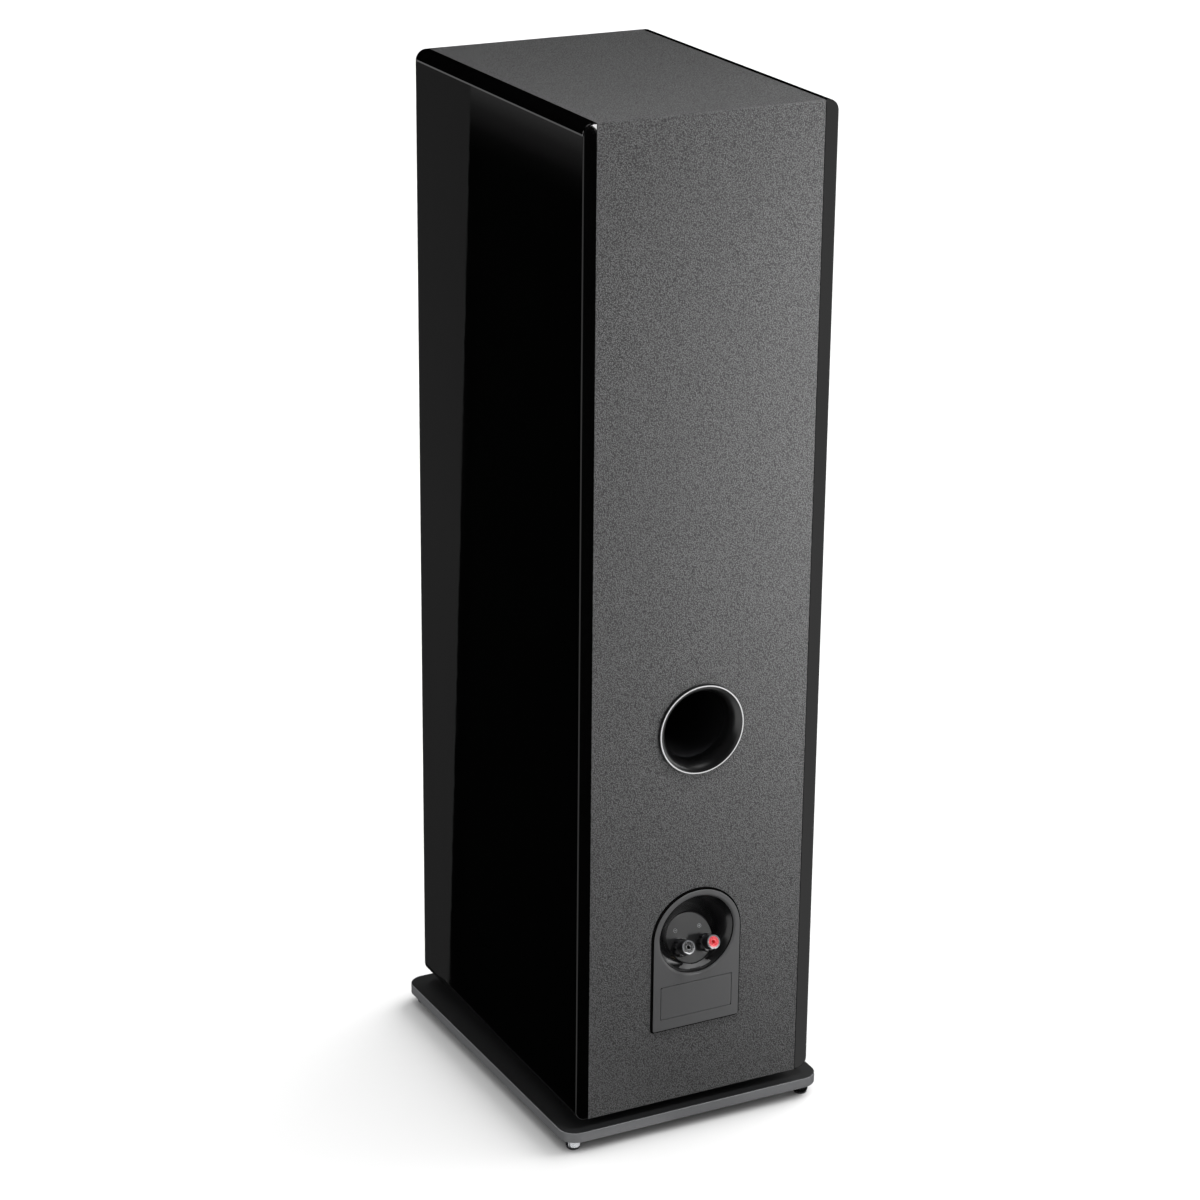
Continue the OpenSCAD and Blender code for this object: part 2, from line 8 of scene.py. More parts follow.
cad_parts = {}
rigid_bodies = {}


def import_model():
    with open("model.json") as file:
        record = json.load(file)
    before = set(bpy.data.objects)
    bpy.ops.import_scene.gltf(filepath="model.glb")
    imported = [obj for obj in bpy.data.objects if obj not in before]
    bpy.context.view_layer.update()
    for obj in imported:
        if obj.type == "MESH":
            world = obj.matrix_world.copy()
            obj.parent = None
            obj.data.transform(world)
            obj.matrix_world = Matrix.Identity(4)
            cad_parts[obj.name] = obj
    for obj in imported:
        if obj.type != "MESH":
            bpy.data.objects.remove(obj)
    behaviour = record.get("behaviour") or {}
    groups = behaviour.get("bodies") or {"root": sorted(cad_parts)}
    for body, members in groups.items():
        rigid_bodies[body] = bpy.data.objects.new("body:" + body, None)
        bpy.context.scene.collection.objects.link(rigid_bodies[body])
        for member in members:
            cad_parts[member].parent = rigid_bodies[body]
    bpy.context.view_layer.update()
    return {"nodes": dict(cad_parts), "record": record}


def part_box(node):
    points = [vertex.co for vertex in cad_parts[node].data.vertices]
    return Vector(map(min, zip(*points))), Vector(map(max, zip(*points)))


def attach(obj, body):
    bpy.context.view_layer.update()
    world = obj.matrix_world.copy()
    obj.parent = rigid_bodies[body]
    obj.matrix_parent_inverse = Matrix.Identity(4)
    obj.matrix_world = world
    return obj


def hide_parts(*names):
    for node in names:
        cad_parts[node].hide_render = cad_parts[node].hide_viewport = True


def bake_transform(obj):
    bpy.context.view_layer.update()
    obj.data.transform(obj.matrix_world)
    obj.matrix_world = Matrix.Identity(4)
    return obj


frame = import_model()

MM = 0.001
TAU = 2 * math.pi


# ---------------------------------------------------------------- places

def size_of(node):
    lo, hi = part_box(node)
    return hi - lo


def middle_of(node):
    lo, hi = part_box(node)
    return (lo + hi) / 2


def mount(name):
    return next(m for m in frame["record"]["mounts"] if m["name"] == name)


def axis_frame(origin, axis):
    """A matrix whose local Z is axis, not upright, and whose local Y leans upwards."""
    z = Vector(axis).normalized()
    x = Vector((0, 0, 1)).cross(z).normalized()
    y = z.cross(x)
    turned = Matrix((x, y, z)).transposed().to_4x4()
    return Matrix.Translation(Vector(origin)) @ turned


BODY_OF = {n: b for b, nodes in frame["record"]["behaviour"]["bodies"].items() for n in nodes}
SLOT_OF = {s["node"]: s["material_slot"] for s in frame["record"]["subparts"]}

REAR_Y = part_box("rear_panel")[1].y
FRONT_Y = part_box("front_baffle")[0].y
CAB_LO = Vector((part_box("gloss_panel_right")[0].x, FRONT_Y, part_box("bottom_panel")[0].z))
CAB_HI = Vector((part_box("gloss_panel_left")[1].x, REAR_Y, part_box("top_panel")[1].z))
CORE_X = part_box("top_panel")[1].x
OUT_BACK = Vector((0, 1, 0))
OUT_FRONT = Vector((0, -1, 0))


# ---------------------------------------------------------------- materials

class Shader:
    """A Principled material with small helpers for wiring procedural layers."""

    def __init__(self, name, **values):
        self.mat = bpy.data.materials.new(name)
        self.mat.use_nodes = True
        self.tree = self.mat.node_tree
        self.bsdf = self.tree.nodes["Principled BSDF"]
        for key, value in values.items():
            self.bsdf.inputs[key.replace("_", " ")].default_value = value
        self.coords = self.tree.nodes.new("ShaderNodeTexCoord")

    def node(self, kind, inputs=None, **settings):
        n = self.tree.nodes.new("ShaderNode" + kind)
        for key, value in settings.items():
            setattr(n, key, value)
        for key, value in (inputs or {}).items():
            socket = n.inputs[key]
            if isinstance(value, bpy.types.NodeSocket):
                self.tree.links.new(value, socket)
            else:
                socket.default_value = value
        return n

    def space(self, scale=(1, 1, 1), output="Object"):
        m = self.node("Mapping", {"Vector": self.coords.outputs[output], "Scale": scale})
        return m.outputs["Vector"]

    def noise(self, scale, detail=3.0, rough=0.55, where=None, distortion=0.0):
        n = self.node("TexNoise", {
            "Vector": where or self.space(), "Scale": scale, "Detail": detail,
            "Roughness": rough, "Distortion": distortion})
        return n.outputs["Fac"]

    def cells(self, scale, feature="SMOOTH_F1"):
        inputs = {"Vector": self.space(), "Scale": scale}
        if feature == "SMOOTH_F1":
            inputs["Smoothness"] = 0.35
        return self.node("TexVoronoi", inputs, feature=feature).outputs["Distance"]

    def remap(self, value, lo, hi, to_lo, to_hi):
        n = self.node("MapRange", {
            "Value": value, "From Min": lo, "From Max": hi, "To Min": to_lo, "To Max": to_hi})
        return n.outputs["Result"]

    def math(self, how, a, b):
        return self.node("Math", {0: a, 1: b}, operation=how).outputs["Value"]

    def plus(self, a, b):
        return self.math("ADD", a, b)

    def times(self, a, b):
        return self.math("MULTIPLY", a, b)

    def ramp(self, value, stops):
        n = self.node("ValToRGB", {"Fac": value})
        elements = n.color_ramp.elements
        while len(elements) < len(stops):
            elements.new(0.5)
        for e, (place, colour) in zip(elements, stops):
            e.position = place
            e.color = (*colour, 1)
        return n.outputs["Color"]

    def mix(self, fac, a, b):
        a, b = ((*c, 1) if isinstance(c, tuple) else c for c in (a, b))
        return self.node("Mix", {0: fac, 6: a, 7: b}, data_type="RGBA").outputs[2]

    def bump(self, height, strength, distance):
        n = self.node("Bump", {"Height": height, "Strength": strength, "Distance": distance})
        return n.outputs["Normal"]

    def edges(self, reach=0.0012):
        """About 1 on edges, where a rounded normal leaves the true one, and 0 on flat faces."""
        rounded = self.node("Bevel", {"Radius": reach}, samples=4).outputs["Normal"]
        true = self.node("NewGeometry").outputs["Normal"]
        same = self.node("VectorMath", {0: rounded, 1: true}, operation="DOT_PRODUCT")
        return self.remap(same.outputs["Value"], 0.995, 0.90, 0.0, 1.0)

    def drive(self, socket, value):
        self.tree.links.new(value, self.bsdf.inputs[socket])


def shade(colour, factor):
    return tuple(min(1.0, c * factor) for c in colour)


def leatherette(name, colour, grain):
    """Embossed pebble wrap: rounded cells with fine valleys and a faint mottle."""
    s = Shader(name, Specular_IOR_Level=0.42)
    pebbles = s.cells(grain)
    fine = s.noise(grain * 1.7, 3.0, 0.6)
    drift = s.noise(grain * 0.3, 2.0)
    height = s.plus(s.remap(pebbles, 0.05, 0.75, 0.6, 0.0),
                    s.plus(s.times(fine, 0.7), s.times(drift, 0.15)))
    tone = s.ramp(s.remap(height, 0.35, 1.0, 0.0, 1.0),
                  [(0.1, shade(colour, 0.2)), (0.5, colour), (0.9, shade(colour, 2.2))])
    mottle = s.remap(s.noise(7.0, 4.0), 0.3, 0.7, 0.0, 1.0)
    # Lighter along the wrap's edges.
    lighter_edges = s.mix(s.times(s.edges(0.0009), 0.6), tone, shade(colour, 2.4))
    s.drive("Base Color", s.mix(s.times(mottle, 0.2), lighter_edges, shade(colour, 0.8)))
    s.drive("Roughness", s.remap(height, 0.3, 1.1, 0.68, 0.46))
    s.drive("Normal", s.bump(height, 1.0, 0.0006))
    return s.mat


def lacquer(name, colour, ior, peel=0.012):
    """Deep gloss: mirror-smooth with faint orange peel, dust and polishing swirls."""
    s = Shader(name, IOR=ior)
    haze = s.noise(9.0, 5.0, 0.6)
    swirl = s.noise(60.0, 2.0, 0.5, where=s.space((1, 1, 0.12)), distortion=1.5)
    dust = s.remap(s.cells(420.0, "F1"), 0.0, 0.10, 1.0, 0.0)
    s.drive("Base Color", s.mix(s.times(dust, 0.25), colour, shade(colour, 4.0)))
    s.drive("Roughness", s.plus(s.remap(haze, 0.35, 0.75, 0.004, 0.018), s.times(swirl, 0.006)))
    s.drive("Normal", s.bump(s.noise(38.0, 2.0), peel, 0.0004))
    return s.mat


def coated(name, colour, rough=0.38, grain=1800.0, depth=0.16, edge=1.9, level=0.5, metal=0.0):
    """Painted, anodised or moulded finish: fine texture, soft variation, rubbed edges."""
    s = Shader(name, Metallic=metal, Specular_IOR_Level=level)
    fine = s.noise(grain, 3.0, 0.6)
    broad = s.noise(14.0, 4.0)
    tone = s.mix(s.remap(fine, 0.3, 0.7, 0.0, 0.5), shade(colour, 0.86), shade(colour, 1.16))
    tone = s.mix(s.times(s.remap(broad, 0.35, 0.7, 0.0, 1.0), 0.25), tone, shade(colour, 1.3))
    s.drive("Base Color", s.mix(s.times(s.edges(), 0.5), tone, shade(colour, edge)))
    s.drive("Roughness", s.plus(s.remap(broad, 0.3, 0.7, rough - 0.05, rough + 0.05),
                                s.times(fine, 0.08)))
    s.drive("Normal", s.bump(fine, depth, 0.0002))
    return s.mat


def turned_metal(name, colour, rough=0.24, lines=900.0, metal=1.0):
    """Machined metal: fine rings that follow the piece's own turning."""
    s = Shader(name, Metallic=metal)
    rings = s.noise(lines, 2.0, 0.7, where=s.space((0.04, 1, 1), "UV"))
    broad = s.noise(20.0, 3.0)
    tone = s.mix(s.remap(rings, 0.3, 0.7, 0.0, 1.0), shade(colour, 0.82), shade(colour, 1.12))
    s.drive("Base Color", s.mix(s.times(s.edges(), 0.5), tone, shade(colour, 1.3)))
    s.drive("Roughness", s.plus(s.remap(rings, 0.3, 0.7, rough - 0.06, rough + 0.08),
                                s.times(broad, 0.06)))
    s.drive("Normal", s.bump(rings, 0.10, 0.0001))
    return s.mat


def rubber(name, colour):
    s = Shader(name, Specular_IOR_Level=0.35, Sheen_Weight=0.15, Sheen_Roughness=0.5)
    bloom = s.noise(26.0, 5.0, 0.65)
    fine = s.noise(2600.0, 2.0)
    s.drive("Base Color", s.mix(s.remap(bloom, 0.35, 0.75, 0.0, 0.6), colour, shade(colour, 2.2)))
    s.drive("Roughness", s.remap(bloom, 0.3, 0.7, 0.52, 0.72))
    s.drive("Normal", s.bump(fine, 0.15, 0.0001))
    return s.mat


def woven(name, colour, pitch=0.0012):
    """Plain weave from two crossed waves."""
    s = Shader(name, Specular_IOR_Level=0.3, Sheen_Weight=0.3)
    waves = [s.node("TexWave", {"Vector": s.space(), "Scale": TAU / 20 / pitch, "Distortion": 0.4},
                    bands_direction=d).outputs["Fac"] for d in ("X", "Z")]
    weave = s.math("MAXIMUM", *waves)
    stops = [(0.2, shade(colour, 0.5)), (0.8, colour), (1.0, shade(colour, 1.2))]
    s.drive("Base Color", s.ramp(weave, stops))
    s.drive("Roughness", s.remap(weave, 0.0, 1.0, 0.9, 0.7))
    s.drive("Normal", s.bump(weave, 0.5, 0.0003))
    return s.mat


def fibreboard(name, colour):
    s = Shader(name, Specular_IOR_Level=0.25)
    fibres = s.noise(420.0, 5.0, 0.75, where=s.space((1, 1, 0.35)))
    broad = s.noise(12.0, 4.0)
    tone = s.ramp(fibres, [(0.25, shade(colour, 0.55)), (0.55, colour), (0.85, shade(colour, 1.35))])
    s.drive("Base Color", s.mix(s.times(broad, 0.35), tone, shade(colour, 0.8)))
    s.drive("Roughness", s.remap(fibres, 0.2, 0.8, 0.92, 0.75))
    s.drive("Normal", s.bump(fibres, 0.35, 0.0003))
    return s.mat


def wool(name, colour):
    s = Shader(name, Specular_IOR_Level=0.2, Sheen_Weight=0.4)
    tangle = s.noise(320.0, 6.0, 0.8, distortion=3.0)
    s.drive("Base Color", s.ramp(tangle, [(0.3, shade(colour, 0.6)), (0.7, shade(colour, 1.2))]))
    s.drive("Roughness", s.remap(tangle, 0.2, 0.8, 0.95, 0.85))
    s.drive("Normal", s.bump(tangle, 0.8, 0.001))
    return s.mat


def winding(name, colour, turns=1400.0):
    """Enamelled wire laid in turns round a coil."""
    s = Shader(name, Metallic=0.9)
    wires = s.node("TexWave", {"Vector": s.space(), "Scale": turns / 20, "Distortion": 0.6},
                   bands_direction="Z").outputs["Fac"]
    stops = [(0.1, shade(colour, 0.35)), (0.6, colour), (1.0, shade(colour, 1.4))]
    s.drive("Base Color", s.ramp(wires, stops))
    s.drive("Roughness", s.remap(wires, 0.0, 1.0, 0.5, 0.28))
    s.drive("Normal", s.bump(wires, 0.6, 0.0004))
    return s.mat


FINISHES = [
    (leatherette, "wrap", (0.0385, 0.0385, 0.039), 760.0),
    (lacquer, "gloss_black", (0.0005, 0.0005, 0.0005), 1.45),
    (coated, "baffle_black", (0.012, 0.012, 0.013), 0.30, 2400.0, 0.08),
    (fibreboard, "fibreboard", (0.36, 0.25, 0.15)),
    (wool, "damping_wool", (0.62, 0.60, 0.55)),
    (coated, "plinth_satin", (0.008, 0.0081, 0.0085), 0.42, 1500.0, 0.14, 2.6, 0.3),
    (coated, "dark_plastic", (0.008, 0.008, 0.009), 0.5, 1400.0, 0.2),
    (turned_metal, "bright_steel", (0.60, 0.61, 0.63)),
    (turned_metal, "insert_brass", (0.66, 0.47, 0.18)),
    (rubber, "sole_rubber", (0.010, 0.010, 0.011)),
    (coated, "port_gloss", (0.006, 0.006, 0.0065), 0.30, 900.0, 0.03, 1.6, 0.8),
    (coated, "terminal_grey", (0.0425, 0.0425, 0.0435), 0.42, 1700.0, 0.16, 1.6),
    (turned_metal, "gold", (0.80, 0.58, 0.24), 0.2),
    (coated, "cap_black", (0.006, 0.006, 0.0065), 0.30, 1800.0, 0.1, 3.0),
    (coated, "cap_red_ring", (0.36, 0.010, 0.018), 0.25, 1500.0, 0.08, 1.3),
    (coated, "board_green", (0.02, 0.11, 0.045), 0.35, 800.0, 0.2),
    (winding, "copper", (0.62, 0.27, 0.11)),
    (coated, "capacitor_film", (0.60, 0.38, 0.05), 0.3, 600.0, 0.1),
    (coated, "cement", (0.66, 0.64, 0.58), 0.8, 500.0, 0.5, 1.1),
    (coated, "cast_frame", (0.018, 0.0185, 0.02), 0.46, 1100.0, 0.35, 2.4),
    (rubber, "surround_rubber", (0.009, 0.009, 0.0095)),
    (turned_metal, "cone_metal", (0.34, 0.345, 0.36), 0.36, 500.0, 0.7),
    (woven, "spider_cloth", (0.50, 0.31, 0.12)),
    (coated, "ferrite", (0.03, 0.031, 0.034), 0.62, 700.0, 0.4, 1.8),
    (coated, "screw_black", (0.014, 0.014, 0.015), 0.34, 1500.0, 0.1, 3.5, 0.6),
]
MATS = {name: make(name, *values) for make, name, *values in FINISHES}
CLEAR_RING = coated("clear_ring", (0.060, 0.062, 0.066), 0.18, 1200.0, 0.05, 1.5, 0.7)
MARKS = coated("marks", (0.26, 0.265, 0.27), 0.5, 1200.0, 0.05, 1.0)
LIPS = {"black": coated("lip_grey", (0.070, 0.070, 0.073), 0.3, 1200.0, 0.05, 1.3),
        "red": coated("lip_red", (0.52, 0.05, 0.06), 0.3, 1200.0, 0.05, 1.2)}
SOCKET_LININGS = {"black": coated("lining_black", (0.012, 0.012, 0.0125), 0.35, 1200.0, 0.05, 1.5),
                  "red": coated("lining_red", (0.85, 0.05, 0.07), 0.35, 1200.0, 0.05, 1.3)}
# Lighter paint for the plinth's side faces than for its top: a painted reflection.
PLINTH_SIDE_PAINTED_REFLECTION = coated("plinth_side_painted_reflection", (0.088, 0.089, 0.092), 0.36, 1300.0, 0.16, 1.7)
# Light grey paint for the port crest: a painted highlight on the dark gloss lip.
PORT_CREST_PAINTED_HIGHLIGHT = coated("port_crest_painted_highlight", (0.62, 0.62, 0.625), 0.26, 900.0, 0.03, 1.2, 0.6)
# The recess wall: dark gloss plastic, painted near black as painted shade in the recess.
CUP_WALL_PAINTED_SHADE = coated("cup_wall", (0.003, 0.003, 0.0032), 0.17, 1500.0, 0.04, 2.5, 0.6)
# The recess floor, painted darker than the plate as painted shade in the recess.
CUP_FLOOR_PAINTED_SHADE = coated("cup_floor_painted_shade", (0.013, 0.0132, 0.0136), 0.42, 1700.0, 0.14, 1.6, 0.4)
# Black gasket rubber; the same black is painted on the plate's side faces and label groove walls as painted
# shade.
GASKET_AND_PAINTED_SHADE = coated("gasket_and_painted_shade", (0.0015, 0.0015, 0.0015), 0.85, 1500.0, 0.1, 1.2, 0.04)


# ---------------------------------------------------------------- mesh tools

def new_object(name, shape, material=None, sharp=None):
    """A linked mesh object from (verts, faces) or (verts, faces, uvs), smooth up to sharp degrees."""
    verts, faces, *uvs = shape
    mesh = bpy.data.meshes.new(name)
    mesh.from_pydata([tuple(v) for v in verts], [], faces)
    mesh.validate()
    if uvs:
        layer = mesh.uv_layers.new(name="UVMap")
        for loop in mesh.loops:
            layer.data[loop.index].uv = uvs[0][loop.vertex_index]
    if sharp is not None:
        mesh.shade_smooth()
        mesh.set_sharp_from_angle(angle=math.radians(sharp))
    if material is not None:
        mesh.materials.append(material)
    obj = bpy.data.objects.new(name, mesh)
    bpy.context.scene.collection.objects.link(obj)
    return obj


def new_piece(name, shape, slot, body, sharp=32.0, material=None):
    """A piece that rides on a body and takes its finish from a record slot."""
    obj = new_object(name, shape, material or MATS[slot], sharp)
    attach(obj, body)
    return obj


def stand_for(name, node, shape, sharp=32.0):
    """A detailed piece in place of a CAD node, on that node's body and slot."""
    obj = new_piece(name, shape, SLOT_OF[node], BODY_OF[node], sharp)
    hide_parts(node)
    return obj


def arc(cx, cy, r, a0, a1, steps):
    """Points round (cx, cy) from angle a0 to a1, in degrees."""
    return [(cx + r * math.cos(math.radians(a0 + (a1 - a0) * i / steps)),
             cy + r * math.sin(math.radians(a0 + (a1 - a0) * i / steps))) for i in range(steps + 1)]


def fillet(points, steps=5):
    """Rounds the corners of a closed outline given as (x, y, radius)."""
    out = []
    count = len(points)
    for i, (x, y, r) in enumerate(points):
        if r <= 0:
            out.append((x, y))
            continue
        p = Vector((x, y))
        a = Vector(points[i - 1][:2]) - p
        b = Vector(points[(i + 1) % count][:2]) - p
        half = a.angle(b) / 2
        reach = r / math.tan(half)
        centre = p + (a.normalized() + b.normalized()).normalized() * (r / math.sin(half))
        start = p + a.normalized() * reach - centre
        end = p + b.normalized() * reach - centre
        turn = start.angle_signed(end)
        for k in range(steps + 1):
            q = centre + Matrix.Rotation(-turn * k / steps, 2) @ start
            out.append((q.x, q.y))
    return out


def quarter(steps):
    """Angles from 0 to a right angle."""
    return [math.pi / 2 * i / steps for i in range(steps + 1)]


def rounded_rectangle(half_w, half_h, r, steps, y=0.0):
    return fillet([(-half_w, y - half_h, r), (half_w, y - half_h, r),
                   (half_w, y + half_h, r), (-half_w, y + half_h, r)], steps)


def joined(*shapes):
    """One (verts, faces) from several shapes."""
    verts, faces = [], []
    for v, f, *_ in shapes:
        faces += [tuple(i + len(verts) for i in face) for face in f]
        verts += v
    return verts, faces


def revolved(profile, place, segments=96, wobble=None, closed=True):
    """Verts, faces and UVs of a profile of (radius, height) turned about local Z.
    wobble(angle, radius, height) gives a new radius, for flutes and lobes."""
    verts, uvs, faces = [], [], []
    travelled = list(itertools.accumulate(map(math.dist, profile, profile[1:]), initial=0.0))
    for k in range(segments):
        a = TAU * k / segments
        for i, (r, z) in enumerate(profile):
            rr = wobble(a, r, z) if wobble else r
            verts.append(place @ Vector((rr * math.cos(a), rr * math.sin(a), z)))
            uvs.append((k / segments, travelled[i]))
    n = len(profile)
    for k in range(segments):
        k2 = (k + 1) % segments
        for i in range(n if closed else n - 1):
            j = (i + 1) % n
            faces.append((k * n + i, k2 * n + i, k2 * n + j, k * n + j))
    return weld(verts, faces, uvs)


def weld(verts, faces, uvs):
    """Merges points that fall together, such as those on the axis, and drops flat faces."""
    index, keep, out, out_uv = {}, [], [], []
    for v, uv in zip(verts, uvs):
        key = (round(v.x, 7), round(v.y, 7), round(v.z, 7))
        if key not in index:
            index[key] = len(out)
            out.append(v)
            out_uv.append(uv)
        keep.append(index[key])
    tidy = []
    for f in faces:
        g = []
        for i in f:
            if keep[i] not in g:
                g.append(keep[i])
        if len(g) > 2:
            tidy.append(tuple(g))
    return out, tidy, out_uv


def lofted(rings, cap_start=True, cap_end=True):
    """Verts and faces of closed rings with the same number of points, joined in turn."""
    n = len(rings[0])
    verts = [v for ring in rings for v in ring]
    faces = []
    for k in range(len(rings) - 1):
        for i in range(n):
            j = (i + 1) % n
            faces.append((k * n + i, k * n + j, (k + 1) * n + j, (k + 1) * n + i))
    if cap_start:
        faces.append(tuple(range(n - 1, -1, -1)))
    if cap_end:
        faces.append(tuple((len(rings) - 1) * n + i for i in range(n)))
    return verts, faces


def rounded_slab(outline, lo, hi, place, bevel, steps=4, lo_bevel=None):
    """A slab from lo to hi along local Z with rounded rims. outline(inset) gives 2-D points."""
    lo_bevel = bevel if lo_bevel is None else lo_bevel
    rings = []
    for b, z, sign in ((lo_bevel, lo, 1), (bevel, hi, -1)):
        rim = [[place @ Vector((x, y, z + sign * b * (1 - math.cos(a))))
                for x, y in outline(b * (1 - math.sin(a)))]
               for a in (quarter(steps) if b > 0 else [math.pi / 2])]
        rings += rim[::sign]
    return lofted(rings)


def add_bevel(obj, width, segments=3, angle=40.0):
    m = obj.modifiers.new("edge", "BEVEL")
    m.width, m.segments, m.limit_method = width, segments, "ANGLE"
    m.angle_limit = math.radians(angle)
    m.harden_normals = True
    return obj


def even_normals(obj):
    """Keeps broad faces flat where they meet small rounded ones."""
    m = obj.modifiers.new("normals", "WEIGHTED_NORMAL")
    m.mode, m.weight, m.keep_sharp = "FACE_AREA", 100, True
    return obj


def cut(obj, *cutters):
    """Takes closed shapes out of a piece."""
    for shape in cutters:
        tool = new_object("cutter", shape)
        m = obj.modifiers.new("cut", "BOOLEAN")
        m.operation, m.object, m.solver = "DIFFERENCE", tool, "EXACT"
        graph = bpy.context.evaluated_depsgraph_get()
        done = bpy.data.meshes.new_from_object(obj.evaluated_get(graph), depsgraph=graph)
        obj.modifiers.clear()
        obj.data = done
        bpy.data.objects.remove(tool)
    obj.data.shade_smooth()
    obj.data.set_sharp_from_angle(angle=math.radians(32))
    return obj


def drill(place, r, lo, hi, segments=64):
    """A closed round cutter along local Z."""
    return revolved([(0, lo), (r, lo), (r, hi), (0, hi)], place, segments, closed=False)[:2]


def paint(obj, material, test):
    """Gives the faces that pass test(centre, normal) a second material."""
    obj.data.materials.append(material)
    last = len(obj.data.materials) - 1
    for face in obj.data.polygons:
        if test(face.center, face.normal):
            face.material_index = last


def finish_node(node, bevel=0.0):
    """Gives a carried-over CAD node its material and, where wanted, softened edges."""
    obj = frame["nodes"][node]
    mat = MATS[SLOT_OF[node]]
    for slot in obj.material_slots:
        slot.link = "OBJECT"
        slot.material = mat
    if bevel > 0:
        add_bevel(obj, bevel, 2, 50.0)


# ---------------------------------------------------------------- cabinet

def prism(x, low_front, low_rear, high_front, high_rear):
    """A six-sided shape from -x to x, from the (y, z) corners of its section."""
    verts = [Vector((side * x, *corner))
             for front, rear in ((low_front, low_rear), (high_front, high_rear))
             for side, corner in ((-1, front), (1, front), (1, rear), (-1, rear))]
    return verts, [(0, 3, 2, 1), (4, 5, 6, 7), (0, 1, 5, 4), (1, 2, 6, 5), (2, 3, 7, 6), (3, 0, 4, 7)]


def make_wrapped_panels():
    """Top, rear and bottom panels in the embossed wrap, meeting in soft mitred edges."""
    t = size_of("rear_panel").y
    gap = 0.12 * MM
    top_z, low_z = CAB_HI.z, CAB_LO.z
    x = CORE_X - gap
    front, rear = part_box("top_panel")[0].y, REAR_Y - gap
    top = stand_for("top_panel_wrapped", "top_panel", prism(
        x, (front, top_z - t), (rear - t, top_z - t), (front, top_z), (rear, top_z)))
    back = stand_for("rear_panel_wrapped", "rear_panel", prism(
        x, (REAR_Y - t, low_z + t), (REAR_Y, low_z), (REAR_Y - t, top_z - t - gap), (REAR_Y, top_z - gap)))
    port = axis_frame((0, REAR_Y, middle_of("port_flare").z), OUT_BACK)
    cut(back, drill(port, size_of("port_tube").x / 2 + 1.8 * MM, -2 * t, t),
        drill(CUP_FRAME, RECESS_R + 3.5 * MM, -2 * t, t))
    low = stand_for("bottom_panel_wrapped", "bottom_panel", prism(
        x, (front, low_z), (rear, low_z), (front, low_z + t), (rear - t, low_z + t)))
    for panel in (top, back, low):
        even_normals(add_bevel(panel, 0.7 * MM))


GLOSS_R = 11 * MM


def make_gloss_panel(side, node):
    """Side panel with quarter-round outer edges and fine softened ends."""
    lo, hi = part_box(node)
    x_arc = CORE_X + hi.x - lo.x - GLOSS_R
    steps = 14

    def outline(inset):
        r = GLOSS_R - inset
        return [(CORE_X + 0.25 * inset, lo.z + inset), *arc(x_arc, lo.z + GLOSS_R, r, -90, 0, steps),
                *arc(x_arc, hi.z - GLOSS_R, r, 0, 90, steps), (CORE_X + 0.25 * inset, hi.z - inset)]

    place = Matrix(((side, 0, 0, 0), (0, 0, 1, 0), (0, 1, 0, 0), (0, 0, 0, 1)))
    verts, faces = rounded_slab(outline, lo.y, hi.y, place, 1.3 * MM, 5)
    if side > 0:
        faces = [f[::-1] for f in faces]
    even_normals(stand_for(node + "_lacquered", node, (verts, faces), 25.0))


# ---------------------------------------------------------------- plinth and feet

FEET = ["foot_front_left", "foot_front_right", "foot_rear_left", "foot_rear_right"]
PLINTH_CORNER = 18 * MM
FOOT_INSET = 15 * MM


def make_plinth():
    """Tapered plate with rounded corners and a softened rim. The side faces are painted lighter than the top,
    as a painted reflection.
    """
    lo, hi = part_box("plinth")
    front_half = hi.x
    rear_half = middle_of("foot_rear_left").x + FOOT_INSET
    c = PLINTH_CORNER

    def outline(inset):
        r = c - inset
        centres = [(rear_half - c, hi.y - c), (-(rear_half - c), hi.y - c),
                   (-(front_half - c), lo.y + c), (front_half - c, lo.y + c)]
        lean = math.degrees(math.atan2(front_half - rear_half, hi.y - lo.y))
        spans = [(lean, 90), (90, 180 - lean), (180 - lean, 270), (270, 360 + lean)]
        return [p for (x, y), (a0, a1) in zip(centres, spans) for p in arc(x, y, r, a0, a1, 14)]

    plate = rounded_slab(outline, lo.z, hi.z, Matrix(), 0.9 * MM, 5)
    plinth = stand_for("plinth_plate", "plinth", plate, 28.0)
    holes = []
    for foot in map(middle_of, FEET):
        spot = Matrix.Translation((foot.x, foot.y, lo.z))
        holes.append(drill(spot, 7.05 * MM, -5 * MM, 8 * MM))
    b_lo, b_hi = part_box("plinth_bolts")
    head_r = 6.5 * MM
    for x in (b_lo.x + head_r, b_hi.x - head_r):
        for y in (b_lo.y + head_r, b_hi.y - head_r):
            spot = Matrix.Translation((x, y, lo.z))
            holes += [drill(spot, 8 * MM, -5 * MM, 5.5 * MM), drill(spot, 4.2 * MM, 5 * MM, 20 * MM)]
    cut(plinth, *holes)

    # Side faces near the edge, which take the lighter paint of the painted reflection.
    def rim(c, n):
        inward = min(hi.x - abs(c.x), c.y - lo.y, hi.y - c.y)
        return n.z < 0.8 and inward < 26 * MM and c.z > lo.z + 0.1 * MM

    paint(plinth, PLINTH_SIDE_PAINTED_REFLECTION, rim)
    even_normals(plinth)


